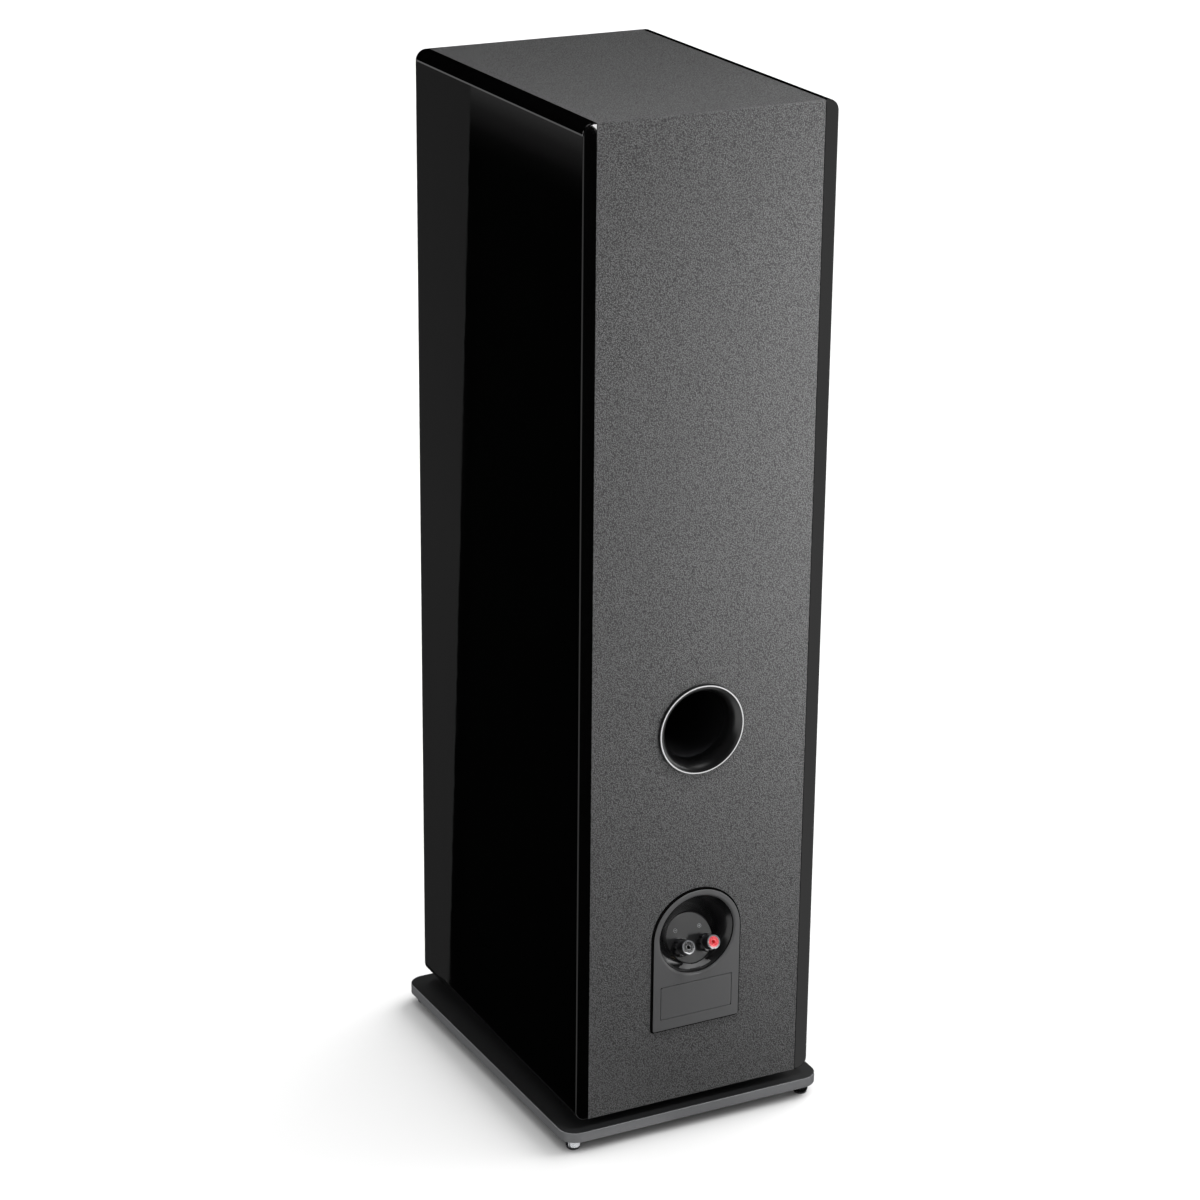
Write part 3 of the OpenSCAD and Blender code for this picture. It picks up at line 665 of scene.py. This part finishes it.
def make_foot(node, sole):
    """Turned foot with a fluted rim and threaded stem, over a rounded sole."""
    lo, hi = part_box(node)
    c = middle_of(node)
    r = (hi.x - lo.x) / 2
    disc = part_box("plinth")[0].z - lo.z - 0.1 * MM
    stem_r = 4 * MM
    place = Matrix.Translation((c.x, c.y, lo.z))
    profile = [(0, 0), (r - 2.0 * MM, 0)] + arc(r - 2.0 * MM, 2.0 * MM, 2.0 * MM, -90, 0, 8)[1:]
    profile += arc(r - 0.6 * MM, disc - 0.6 * MM, 0.6 * MM, 0, 90, 4)
    profile += [(stem_r + 0.4 * MM, disc), (stem_r, disc + 0.4 * MM)]
    pitch, z = 1.25 * MM, disc + 0.6 * MM
    while z + pitch < hi.z - lo.z - 0.6 * MM:
        profile += [(stem_r - 0.45 * MM, z), (stem_r, z + pitch / 2)]
        z += pitch
    profile += [(stem_r - 0.7 * MM, hi.z - lo.z), (0, hi.z - lo.z)]

    def flutes(angle, radius, height):
        if radius < r - 1.2 * MM or height > disc:
            return radius
        return radius - 0.35 * MM * max(0.0, math.cos(12 * angle)) ** 6

    stand_for(node + "_turned", node, revolved(profile, place, 144, flutes, closed=False), 38.0)
    s_lo, s_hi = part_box(sole)
    sr, sh = (s_hi.x - s_lo.x) / 2, s_hi.z - s_lo.z
    profile = [(0, 0), (sr - 1.1 * MM, 0)] + arc(sr - 1.1 * MM, 1.1 * MM, 1.1 * MM, -90, 0, 5)[1:]
    profile += [(sr, sh - 0.2 * MM), (sr - 0.2 * MM, sh), (0, sh)]
    place = Matrix.Translation((c.x, c.y, s_lo.z))
    stand_for(sole + "_moulded", sole, revolved(profile, place, 96, closed=False))


# ---------------------------------------------------------------- port

def make_port():
    """Flared gloss mouth with a fine crest, and the tube behind it. The crest is painted light grey as a
    painted highlight.
    """
    lo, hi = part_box("port_flare")
    centre = middle_of("port_flare")
    place = axis_frame((0, REAR_Y, centre.z), OUT_BACK)
    r_out = (hi.x - lo.x) / 2
    proud = hi.y - REAR_Y
    bore = mount("port_bore")["dims"]["r_mm"] * MM
    crest = 1.3 * MM
    sleeve_end = lo.y - REAR_Y
    tube_r = size_of("port_tube").x / 2
    tube_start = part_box("port_tube")[1].y - REAR_Y
    profile = [(r_out, 0.0)]
    profile += arc(r_out - crest, proud - crest, crest, 0, 150, 8)
    crest_r, crest_z = profile[-1]
    depth = 13 * MM
    profile += [(crest_r + (bore - crest_r) * math.sin(a) ** 1.15, crest_z - depth * (1 - math.cos(a)) ** 0.9)
                for a in quarter(16)[1:]]
    profile += [(bore, tube_start), (tube_r + 0.05 * MM, tube_start), (tube_r + 0.05 * MM, sleeve_end),
                (tube_r + 1.6 * MM, sleeve_end), (tube_r + 1.6 * MM, 0.0)]
    verts, faces, uvs = revolved(profile, place, 144)
    flare = stand_for("port_flare_moulded", "port_flare", (verts, [f[::-1] for f in faces], uvs), 40.0)
    # The crest faces take the light grey paint, a painted highlight.
    paint(flare, PORT_CREST_PAINTED_HIGHLIGHT, lambda c, n: c.y > REAR_Y + proud - 0.16 * crest)
    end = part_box("port_tube")[0].y - REAR_Y
    profile = [(bore, tube_start), (bore, end + 3 * MM), (bore + 0.8 * MM, end + 0.6 * MM),
               (bore + 1.4 * MM, end), (tube_r, end + 0.6 * MM), (tube_r, tube_start)]
    stand_for("port_tube_drawn", "port_tube", revolved(profile, place, 128))


# ---------------------------------------------------------------- terminals

CUP_LO, CUP_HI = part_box("terminal_cup")
CUP_HALF = CUP_HI.x
CUP_Z = CUP_HI.z - CUP_HALF
CUP_DROP = CUP_Z - CUP_LO.z
CUP_PROUD = CUP_HI.y - REAR_Y
RECESS_R = 41 * MM
FLOOR_R = 25 * MM
FLOOR_DROP, FLOOR_DEPTH = 10.9 * MM, 14.3 * MM
POST_X, POST_Y = 14 * MM, -7.8 * MM
POST_AXIS = Vector(mount("banana_socket_black")["axis"])
CUP_FRAME = axis_frame((0, REAR_Y, CUP_Z), OUT_BACK)
FLOOR_FRAME = axis_frame((0, REAR_Y - FLOOR_DEPTH, CUP_Z - FLOOR_DROP), POST_AXIS)


def post_frame(side):
    """The foot of a binding post on the recess floor, with its local Z along the post."""
    return FLOOR_FRAME @ Matrix.Translation((side * POST_X, POST_Y, 0))


def tombstone(inset):
    """Round-topped plate outline about the arch's centre."""
    w, drop, corner = CUP_HALF - inset, CUP_DROP - inset, max(0.4 * MM, 2.2 * MM - inset)
    side, base = drop - corner, w - corner
    return [*arc(base, -side, corner, -90, 0, 6), *[(w, -side + side * i / 10) for i in range(1, 10)],
            *arc(0, 0, w, 0, 180, 40), *[(-w, -side * i / 10) for i in range(1, 10)],
            *arc(-base, -side, corner, 180, 270, 6),
            *[(-base + 2 * base * i / 12, -drop) for i in range(1, 12)]]


def make_terminal_cup():
    """Plate with rounded rim, lipped round recess and a sloping floor. The recess wall and floor are painted
    darker, and the plate's side faces and label groove walls black, as painted shade.
    """
    angles = [math.atan2(y, x) for x, y in tombstone(0)]
    n = len(angles)

    def plate_ring(inset, z):
        return [CUP_FRAME @ Vector((x, y, z)) for x, y in tombstone(inset)]

    def circle(place, r, z):
        return [place @ Vector((r * math.cos(a), r * math.sin(a), z)) for a in angles]

    gap, rim, lip = 1.4 * MM, 0.8 * MM, 3.2 * MM
    rings = [plate_ring(gap, 0.0), plate_ring(gap, CUP_PROUD - 1.9 * MM),
             plate_ring(0.3 * MM, CUP_PROUD - 1.85 * MM), plate_ring(0, CUP_PROUD - 1.6 * MM)]
    rings += [plate_ring(rim * (1 - math.cos(a)), CUP_PROUD - rim + rim * math.sin(a)) for a in quarter(4)]
    rings += [circle(CUP_FRAME, RECESS_R + lip - lip * math.sin(a), CUP_PROUD - lip * (1 - math.cos(a)))
              for a in quarter(6)]
    wall_top = circle(CUP_FRAME, RECESS_R, CUP_PROUD - lip)
    wall_low = circle(FLOOR_FRAME, FLOOR_R + 0.8 * MM, 0.5 * MM)
    top_centre, low_centre = (sum(wall, Vector()) / n for wall in (wall_top, wall_low))
    for i in range(1, 15):
        t = i / 14
        centre, pinch = top_centre.lerp(low_centre, t), 0.035 * math.sin(t * math.pi)
        rings.append([p.lerp(q, t).lerp(centre, pinch) for p, q in zip(wall_top, wall_low)])
    rings += [circle(FLOOR_FRAME, FLOOR_R, 0.1 * MM), circle(FLOOR_FRAME, FLOOR_R - 0.9 * MM, 0.0)]
    verts, faces = lofted(rings, cap_start=False)
    base = len(verts)
    verts += circle(CUP_FRAME, RECESS_R * 1.05, -1.0 * MM) + circle(FLOOR_FRAME, FLOOR_R + 3 * MM, -4 * MM)
    for i in range(n):
        j = (i + 1) % n
        faces.append((i, base + i, base + j, j))
        faces.append((base + i, base + n + i, base + n + j, base + j))
    faces.append(tuple(base + n + i for i in range(n)))
    cup = stand_for("terminal_cup_moulded", "terminal_cup", (verts, faces), 42.0)
    label_w, label_h, label_y = 80 * MM, 36 * MM, 12 * MM - CUP_DROP
    groove_w, groove_lo, groove_hi = 0.75 * MM, CUP_PROUD - 1.5 * MM, CUP_PROUD + 1.0 * MM
    groove = []
    for inset, z in ((0.0, groove_lo), (0.0, groove_hi), (groove_w, groove_hi), (groove_w, groove_lo)):
        label = rounded_rectangle(label_w / 2 - inset, label_h / 2 - inset, 1.2 * MM, 4,
                                  label_y + label_h / 2)
        groove.append([CUP_FRAME @ Vector((x, y, z)) for x, y in label])
    channel = lofted(groove + groove[:1], cap_start=False, cap_end=False)
    studs = [drill(post_frame(side), 3.2 * MM, -8 * MM, 6 * MM, 40) for side in (-1, 1)]
    cut(cup, channel, *studs)
    floor_normal = FLOOR_FRAME.to_3x3() @ Vector((0, 0, 1))

    # Faces of the recess wall, painted near black as painted shade.
    def in_shaded_wall(c, normal):
        p = CUP_FRAME.inverted() @ c
        in_mouth = math.hypot(p.x, p.y) < RECESS_R + 0.6 * MM
        return in_mouth and p.z < CUP_PROUD - 1.9 * MM and normal.dot(floor_normal) < 0.985

    # Faces of the recess floor, painted darker as painted shade.
    def in_shaded_floor(c, normal):
        p = FLOOR_FRAME.inverted() @ c
        return math.hypot(p.x, p.y) < FLOOR_R and abs(p.z) < 0.4 * MM and normal.dot(floor_normal) > 0.9

    def in_shade(c, normal):
        p = CUP_FRAME.inverted() @ c
        outside = math.hypot(p.x, max(p.y, 0.0)) > CUP_HALF - 3 * MM or p.y < -RECESS_R - lip
        return outside and p.z < CUP_PROUD - 0.6 * rim and abs(normal.y) < 0.7

    # The plate's side faces and the label groove walls are painted black: painted shade.
    paint(cup, GASKET_AND_PAINTED_SHADE, in_shade)
    paint(cup, CUP_WALL_PAINTED_SHADE, in_shaded_wall)
    paint(cup, CUP_FLOOR_PAINTED_SHADE, in_shaded_floor)
    even_normals(cup)
    # A black gasket strip under the plate, which also stands in for the dark shadow gap round it: a dark
    # sheet put there as painted shade.
    seal = [plate_ring(-reach * MM, z * MM)
            for reach, z in ((-4, 0), (1.9, 0), (1.9, 0.4), (1.6, 0.7), (-4, 0.7))]
    strip = lofted(seal + seal[:1], cap_start=False, cap_end=False)
    new_piece("terminal_gasket", strip, "sole_rubber", "cabinet", material=GASKET_AND_PAINTED_SHADE)


def make_marks():
    """Generic minus and plus signs, each in a fine ring, raised a hair from the recess floor."""
    arm, bar, lift, ring_r, ring_w = 1.15 * MM, 0.24 * MM, 0.12 * MM, 2.1 * MM, 0.3 * MM
    mark_x, mark_y, sunk = 13.5 * MM, 9.5 * MM, -0.1 * MM
    for name, side, bars in (("minus", -1, [(arm, bar)]), ("plus", 1, [(arm, bar), (bar, arm)])):
        place = FLOOR_FRAME @ Matrix.Translation((side * mark_x, mark_y, 0))
        shapes = []
        for k, (w, h) in enumerate(bars):
            def outline(inset, w=w, h=h):
                return rounded_rectangle(w - inset, h - inset, 0.2 * MM, 3)

            top = lift + k * 0.01 * MM
            shapes.append(rounded_slab(outline, sunk, top, place, 0.05 * MM, 2, 0.0))
        section = [(ring_r - ring_w, sunk), (ring_r, sunk), (ring_r, lift), (ring_r - ring_w, lift)]
        shapes.append(revolved(section, place, 40))
        new_piece(name + "_mark", joined(*shapes), "terminal_grey", "cabinet", material=MARKS)


def make_post(colour):
    """Fluted cap with its coloured end, over a plated stud and washer."""
    socket = mount("banana_socket_" + colour)
    place = post_frame(-1 if middle_of("cap_" + colour).x > 0 else 1)
    start, length, ring_t = 2.8 * MM, 24.5 * MM, 1.5 * MM
    grip_r, grip_h, neck_r, end_r = 9 * MM, 9 * MM, 6.6 * MM, 7 * MM
    end = length - ring_t
    bore = 3.05 * MM
    profile = [(bore, start + 0.4 * MM), (bore + 0.4 * MM, start), (grip_r - 0.7 * MM, start)]
    profile += arc(grip_r - 0.7 * MM, start + 0.7 * MM, 0.7 * MM, -90, 0, 4)[1:]
    profile += [(grip_r, start + grip_h * k / 6) for k in range(1, 5)]
    profile += arc(grip_r - 1.2 * MM, start + grip_h - 1.2 * MM, 1.2 * MM, 0, 90, 5)
    profile += arc(neck_r + 0.8 * MM, start + grip_h + 0.8 * MM, 0.8 * MM, 270, 180, 4)
    profile += [(neck_r, end - 0.3 * MM), (neck_r - 0.3 * MM, end),
                (bore + 0.2 * MM, end), (bore, end - 0.2 * MM)]

    def lobes(angle, radius, height):
        if radius < neck_r + 0.9 * MM or height > start + grip_h:
            return radius
        notch = max(0.0, math.cos(8 * angle)) ** 2.2
        return radius - 1.6 * MM * notch * min(1.0, (radius - neck_r) / (grip_r - neck_r))

    stand_for("cap_%s_fluted" % colour, "cap_" + colour, revolved(profile, place, 192, lobes), 40.0)

    mid_r, in_r = 5.4 * MM, 3.3 * MM
    profile = [(in_r, end), (mid_r, end), (mid_r, length - 0.35 * MM)]
    profile += arc(mid_r - 0.3 * MM, length - 0.5 * MM, 0.3 * MM, 0, 90, 3)
    profile += [(in_r + 0.7 * MM, length - 0.2 * MM), (in_r + 0.5 * MM, length - 0.7 * MM),
                (in_r, length - 0.8 * MM)]
    node = "cap_insert_" + colour
    stand_for(node + "_disc", node, revolved(profile, place, 96))
    profile = [(mid_r + 0.02 * MM, end), (end_r - 0.2 * MM, end)]
    profile += arc(end_r - 0.5 * MM, length - 0.5 * MM, 0.5 * MM, 0, 90, 4)
    profile += [(mid_r + 0.3 * MM, length), (mid_r + 0.02 * MM, length - 0.3 * MM)]
    new_piece("cap_%s_clear_rim" % colour, revolved(profile, place, 96), "cap_black", "knob_" + colour,
              material=CLEAR_RING)

    lip_in, lip_out, lip_low = 2.15 * MM, 2.95 * MM, length - 0.95 * MM
    profile = [(lip_in, lip_low), (lip_out, lip_low), (lip_out, length - 0.5 * MM),
               (lip_out - 0.2 * MM, length - 0.3 * MM), (lip_in + 0.2 * MM, length - 0.3 * MM),
               (lip_in, length - 0.5 * MM)]
    new_piece("cap_%s_lip" % colour, revolved(profile, place, 64), "cap_black", "knob_" + colour,
              material=LIPS[colour])

    r_bore = socket["dims"]["r_mm"] * MM
    depth = socket["dims"]["length_mm"] * MM
    tip, stud_r = length - 1 * MM, 3 * MM
    profile = [(0, -15 * MM), (stud_r - 0.4 * MM, -15 * MM), (stud_r, -14.6 * MM)]
    z = -14.2 * MM
    while z < -0.6 * MM:
        profile += [(stud_r - 0.3 * MM, z), (stud_r, z + 0.3 * MM)]
        z += 0.6 * MM
    profile += [(stud_r, 0), (6 * MM, 0), (6 * MM, 1.3 * MM), (5.7 * MM, 1.6 * MM), (stud_r, 1.6 * MM)]
    z = 2.0 * MM
    while z < tip - 1.2 * MM:
        profile += [(stud_r - 0.25 * MM, z), (stud_r, z + 0.5 * MM)]
        z += 1.0 * MM
    profile += [(stud_r, tip - 0.4 * MM), (stud_r - 0.4 * MM, tip), (r_bore + 0.3 * MM, tip),
                (r_bore, tip - 0.3 * MM), (r_bore, tip - depth), (0, tip - depth - 1 * MM)]
    turned = revolved(profile, place, 64, closed=False)
    stud = stand_for("stud_%s_turned" % colour, "stud_" + colour, turned, 40.0)
    cross = place @ Matrix.Translation((0, 0, 5 * MM)) @ Matrix.Rotation(math.radians(90), 4, "X")
    cut(stud, drill(cross, 1.4 * MM, -6 * MM, 6 * MM, 32))
    inward = place.inverted()

    def in_mouth(c, _):
        p = inward @ c
        return math.hypot(p.x, p.y) < r_bore + 0.05 * MM and p.z > tip - depth - 0.5 * MM

    paint(stud, SOCKET_LININGS[colour], in_mouth)


# ---------------------------------------------------------------- drivers

def front_place(node):
    c = middle_of(node)
    return axis_frame((c.x, FRONT_Y, c.z), OUT_FRONT)


def make_cone(driver, r):
    """Spun cone with a rolled rim, joined to its dust cap and coil former."""
    node = driver + "_cone"
    edge, neck, coil = 0.70 * r, 0.22 * r, 0.19 * r
    front, depth, rise = 5 * MM, 0.32 * r, 0.07 * r
    former_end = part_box(node)[1].y - FRONT_Y
    skin, floor_z = 0.9 * MM, -front - depth
    face = [(edge + (neck - edge) * i / 26, -front - depth * (i / 26) ** 0.86) for i in range(27)]
    cap = [(neck * math.cos(a), floor_z + 0.4 * MM + rise * math.sin(a)) for a in quarter(12)[1:]]
    back = [(rr + 0.1 * MM, z - skin) for rr, z in face[::-1] if rr > coil + 1 * MM]
    profile = cap[::-1] + [(neck, floor_z + 0.4 * MM)] + face[::-1][1:]
    profile += arc(edge - 0.45 * MM, -front - 0.45 * MM, 0.45 * MM, 80, -80, 4)
    profile += back[::-1]
    profile += [(coil, floor_z - skin), (coil, -former_end), (coil - 0.6 * MM, -former_end),
                (coil - 0.6 * MM, floor_z - skin), (0, floor_z - skin)]
    stand_for(node + "_spun", node, revolved(profile, front_place(node), 128, closed=False), 30.0)


def make_surround(driver, r):
    """Half-roll in twelve joined sectors, between frame and cone."""
    node = driver + "_surround"
    place = front_place(node)
    outer, inner = 0.85 * r - 0.05 * MM, 0.70 * r + 0.1 * MM
    roll = (outer - inner) / 2 - 1.8 * MM
    mid = (outer + inner) / 2
    base = -5 * MM
    section = [(outer, base), (mid + roll + 0.6 * MM, base)]
    section += [(mid + roll * math.cos(a), base + 0.3 * MM + roll * 0.95 * math.sin(a))
                for a in map(math.radians, range(6, 175, 8))]
    section += [(mid - roll - 0.6 * MM, base), (inner, base)]
    profile = section + [(x, z - 0.7 * MM) for x, z in section[::-1]]
    sectors, across = 12, 8
    n = len(profile)
    for k in range(sectors):
        verts, uvs, faces = [], [], []
        for j in range(across + 1):
            a = TAU * (k + j / across) / sectors
            for i, (x, z) in enumerate(profile):
                verts.append(place @ Vector((x * math.cos(a), x * math.sin(a), z)))
                uvs.append((a / TAU, i / n))
        for j in range(across):
            for i in range(n):
                i2 = (i + 1) % n
                faces.append(((j + 1) * n + i, (j + 1) * n + i2, j * n + i2, j * n + i))
        obj = new_object("%s_roll_%02d" % (node, k + 1), (verts, faces, uvs), MATS["surround_rubber"], 50.0)
        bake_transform(obj)
        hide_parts(node)


def make_tweeter():
    """Faceplate with a smooth shallow horn, and the dome with its surround."""
    node = "tweeter_faceplate"
    place = front_place(node)
    r, t = size_of(node).x / 2, size_of(node).y
    throat, horn = 17 * MM, 33 * MM
    profile = [(r, -t), (r, -0.8 * MM)] + arc(r - 0.8 * MM, -0.8 * MM, 0.8 * MM, 0, 90, 4)[1:]
    profile += arc(horn + 1.6 * MM, -0.6 * MM, 0.6 * MM, 90, 130, 3)
    profile += [(horn + (throat - horn) * i / 14, -t * math.sin(a) ** 1.3)
                for i, a in enumerate(quarter(14)) if i]
    plate = stand_for("tweeter_faceplate_cast", node, revolved(profile, place, 128), 35.0)
    screws = []
    for k in range(4):
        a = math.radians(45 + 90 * k)
        spot = place @ Matrix.Translation(((r - 6 * MM) * math.cos(a), (r - 6 * MM) * math.sin(a), 0))
        screws.append(drill(spot, 4.2 * MM, -2 * MM, 2 * MM, 48))
        screws.append(drill(spot, 2.6 * MM, -6 * MM, -1 * MM, 32))
    cut(plate, *screws)
    d_lo, d_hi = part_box("tweeter_dome")
    dome_r = (d_hi.x - d_lo.x) / 2
    base = -t - 1 * MM
    rise = FRONT_Y - d_lo.y - base
    tail = -(d_hi.y - FRONT_Y)
    profile = [(dome_r * math.sin(a) * 0.985, base + (rise - 0.1 * MM) * math.cos(a) ** 1.25)
               for a in quarter(16)]
    profile += [(dome_r, base), (dome_r, tail), (dome_r - 0.5 * MM, tail),
                (dome_r - 0.5 * MM, base - 0.6 * MM), (0, base + 3 * MM)]
    stand_for("tweeter_dome_formed", "tweeter_dome", revolved(profile, place, 96, closed=False), 50.0)
    s_lo, s_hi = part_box("tweeter_surround")
    s_out, s_in = (s_hi.x - s_lo.x) / 2, dome_r + 0.1 * MM
    z0 = -(s_hi.y - FRONT_Y)
    profile = [(s_in, z0), (s_out, z0), (s_out, z0 + 0.5 * MM)]
    mid = (s_in + s_out) / 2
    profile += [(mid + (s_out - s_in) * 0.42 * math.cos(a), z0 + 0.5 * MM + 1.0 * MM * math.sin(a))
                for a in map(math.radians, range(0, 181, 15))]
    profile += [(s_in, z0 + 0.5 * MM)]
    stand_for("tweeter_surround_roll", "tweeter_surround", revolved(profile, place, 96), 60.0)


# ---------------------------------------------------------------- studio

def card(name, rows):
    """A glowing card that only glossy rays see. rows are (points, glow), joined into strips."""
    mat = bpy.data.materials.get("card_glow")
    if mat is None:
        mat = bpy.data.materials.new("card_glow")
        mat.use_nodes = True
        tree = mat.node_tree
        tree.nodes.clear()
        level = tree.nodes.new("ShaderNodeAttribute")
        level.attribute_name = "glow"
        shine = tree.nodes.new("ShaderNodeEmission")
        out = tree.nodes.new("ShaderNodeOutputMaterial")
        tree.links.new(level.outputs["Fac"], shine.inputs["Strength"])
        tree.links.new(shine.outputs["Emission"], out.inputs["Surface"])
    verts = [v for points, _ in rows for v in points]
    n = len(rows[0][0])
    faces = [(k * n + i, k * n + i + 1, (k + 1) * n + i + 1, (k + 1) * n + i)
             for k in range(len(rows) - 1) for i in range(n - 1)]
    obj = new_object(name, (verts, faces), mat)
    layer = obj.data.attributes.new("glow", "FLOAT", "POINT")
    layer.data.foreach_set("value", [glow for points, glow in rows for _ in points])
    obj.visible_camera = obj.visible_diffuse = obj.visible_shadow = obj.visible_transmission = False


def make_floor():
    s = Shader("studio_floor", Specular_IOR_Level=0.2)
    patches = s.times(s.noise(3.0, 3.0), 0.03)
    s.drive("Base Color", s.mix(patches, (0.48, 0.48, 0.48), (0.46, 0.46, 0.46)))
    s.drive("Roughness", s.remap(s.noise(40.0), 0.3, 0.7, 0.85, 0.95))
    half = 30.0
    corners = [(-half, -half, 0), (half, -half, 0), (half, half, 0), (-half, half, 0)]
    floor = new_object("floor", (corners, [(0, 1, 2, 3)]), s.mat)
    floor.visible_glossy = False
    return floor


def floor_light(name, place, power, spread, floor, blockers):
    """A broad sun for the floor alone, shaded only by the low pieces that stand on it."""
    light = add_light("SUN", name, place, (0, 0, 0), power, False, (), angle=math.radians(spread))
    lit = bpy.data.collections.new(name + "_lit")
    lit.objects.link(floor)
    light.light_linking.receiver_collection = lit
    shading = bpy.data.collections.new(name + "_shading")
    for obj in blockers:
        shading.objects.link(obj)
    light.light_linking.blocker_collection = shading


def add_light(kind, name, place, target, power, glossy, spared, **settings):
    """A lamp aimed at target that leaves the spared objects unlit."""
    data = bpy.data.lights.new(name, kind)
    data.energy = power
    for key, value in settings.items():
        setattr(data, key, value)
    light = bpy.data.objects.new(name, data)
    bpy.context.scene.collection.objects.link(light)
    light.location = place
    light.rotation_mode = "QUATERNION"
    light.rotation_quaternion = (Vector(target) - Vector(place)).to_track_quat("-Z", "Y")
    light.visible_camera = False
    light.visible_glossy = glossy
    if spared:
        group = bpy.data.collections.new(name + "_spares")
        for obj in spared:
            group.objects.link(obj)
        light.light_linking.receiver_collection = group
        for member in group.collection_objects:
            member.light_linking.link_state = "EXCLUDE"
    return light


def make_world():
    """White surround for the floor and the matte surfaces; gloss sees only the softboxes and cards."""
    world = bpy.data.worlds.new("studio")
    bpy.context.scene.world = world
    world.use_nodes = True
    world.node_tree.nodes["Background"].inputs["Color"].default_value = (1, 1, 1, 1)
    world.node_tree.nodes["Background"].inputs["Strength"].default_value = 1.0
    world.cycles_visibility.glossy = False


def make_lights(floor, port):
    """Studio lamps. The two rear ones spare the glossy port flare too."""
    add_light("SUN", "sky_soft", (-1.2, 1.6, 3.0), (0, 0, 0.55), 0.45, False, (floor,),
              angle=math.radians(70))
    for name, place, target, power, glossy, spread, soft in (
            ("key_rear", (-0.9, 1.85, 0.75), (-0.66, REAR_Y, 0.70), 385, True, 53, 0.22),
            ("top_rear", (-0.33, 0.86, 2.4), (-0.16, 0.90, 1.03), 345, False, 89, 0.3)):
        add_light("SPOT", name, place, target, power, glossy, (floor, port),
                  spot_size=math.radians(spread), spot_blend=1.0, shadow_soft_size=soft)
    for name, place, target, power, width, height in (
            ("top_box", (-1.2, 0.5, 2.8), (0, 0.05, 1.0), 8, 1.3, 1.3),
            ("side_box", (-2.6, 1.2, 0.9), (0, 0.2, 0.5), 12, 0.5, 1.8),
            ("front_high", (0.2, -2.3, 3.1), (0, -0.2, 0.6), 20, 1.8, 1.0),
            ("front_left", (2.6, -1.4, 1.3), (0, -0.2, 0.6), 44, 0.7, 1.9),
            ("front_right", (-2.7, -1.6, 1.3), (0, -0.2, 0.6), 44, 0.7, 1.9)):
        add_light("AREA", name, place, target, power, True, (floor,),
                  shape="RECTANGLE", size=width, size_y=height)


def make_cards(camera):
    """Strips and white floor areas that the gloss surfaces reflect."""
    face = CAB_HI.x
    mirrored = camera.location.copy()
    mirrored.x = 2 * face - mirrored.x

    def behind(y, z):
        """Where the photographed view sees by way of the left gloss panel's point (y, z)."""
        return mirrored + (Vector((face, y, z)) - mirrored) * 2

    def floor_card(name, *rows):
        """A card just under the floor. rows are (y, x from, x to)."""
        card(name, [([Vector((x, y, -1 * MM)) for x in ends], 1.0) for y, *ends in rows])

    flat_top = CAB_HI.z - GLOSS_R
    strip = ((-0.1, 0.054, 0.090), (0.55, 0.098, 0.112), (flat_top, 0.128, 0.098))
    card("strip_card", [([behind(FRONT_Y - 0.4, z), behind(FRONT_Y + width, z)], glow)
                        for z, width, glow in strip])
    fades = ((-0.06, 0.0), (-0.042, 0.012), (-0.02, 0.07), (0.0, 0.2), (0.012, 0.8), (0.21, 0.8))
    aside = Vector((0.01, 0, 0))
    card("edge_card", [([behind(y, flat_top + dz) + aside for y in (-0.45, 0.45)], glow)
                       for dz, glow in fades])
    near, far, wide = REAR_Y, 6.0, 6
    floor_card("floor_by_foot", (near, 0.02, 0.22), (near + 0.045, 0.02, 0.22))
    floor_card("floor_right_rear", (near + 0.05, -wide, -0.06), (far, -wide, -0.03 - 0.59 * (far - near)))
    floor_card("floor_right_front", (-wide, -wide, -0.2), (near, -wide, -0.2))
    floor_card("floor_left_rear", (near, 0.2, wide), (far, 0.2 - 0.5 * (far - near), wide))


def make_camera():
    """Long lens at the photographed angle: above and behind the speaker's left side."""
    base = Vector((0, (CAB_LO.y + CAB_HI.y) / 2, CAB_LO.z))
    offset = Vector((1.4422, 2.7896, 1.6516))
    heading, pitch, roll = math.radians(207.066), math.radians(-20.653), math.radians(0.561)
    level = math.cos(pitch)
    forward = Vector((math.sin(heading) * level, math.cos(heading) * level, math.sin(pitch)))
    data = bpy.data.cameras.new("camera")
    data.sensor_width = 36.0
    data.lens = 100.64
    camera = bpy.data.objects.new("camera", data)
    bpy.context.scene.collection.objects.link(camera)
    camera.location = base + offset
    turn = forward.to_track_quat("-Z", "Y").to_matrix() @ Matrix.Rotation(roll, 3, "Z")
    camera.rotation_euler = turn.to_euler()
    data.clip_start, data.clip_end = 0.05, 90.0
    bpy.context.scene.camera = camera
    return camera


# ---------------------------------------------------------------- build

studio_camera = make_camera()
make_world()
studio_floor = make_floor()
make_cards(studio_camera)
bpy.context.scene.view_settings.view_transform = "Standard"

make_wrapped_panels()
make_gloss_panel(1, "gloss_panel_left")
make_gloss_panel(-1, "gloss_panel_right")
make_plinth()
for foot_node in FEET:
    make_foot(foot_node, foot_node.replace("foot", "sole"))
make_port()
make_terminal_cup()
make_marks()
make_post("black")
make_post("red")
for driver in ("mid", "woofer_upper", "woofer_lower"):
    radius = size_of(driver + "_basket").x / 2
    make_cone(driver, radius)
    make_surround(driver, radius)
make_tweeter()
make_lights(studio_floor, bpy.data.objects["port_flare_moulded"])
low_pieces = [bpy.data.objects[n] for n in ["plinth_plate"] + [f + "_turned" for f in FEET]]
floor_light("floor_above", (-0.5, 0.6, 3.0), 1.9, 60, studio_floor, low_pieces)
floor_light("floor_beside", (-2.0, -0.3, 1.30), 6.0, 60, studio_floor, low_pieces)

SOFTENED = {"front_baffle": 0.8, "mid_basket": 0.5, "woofer_upper_basket": 0.5, "woofer_lower_basket": 0.5}
for cad_node in frame["nodes"]:
    finish_node(cad_node, SOFTENED.get(cad_node, 0.0) * MM)
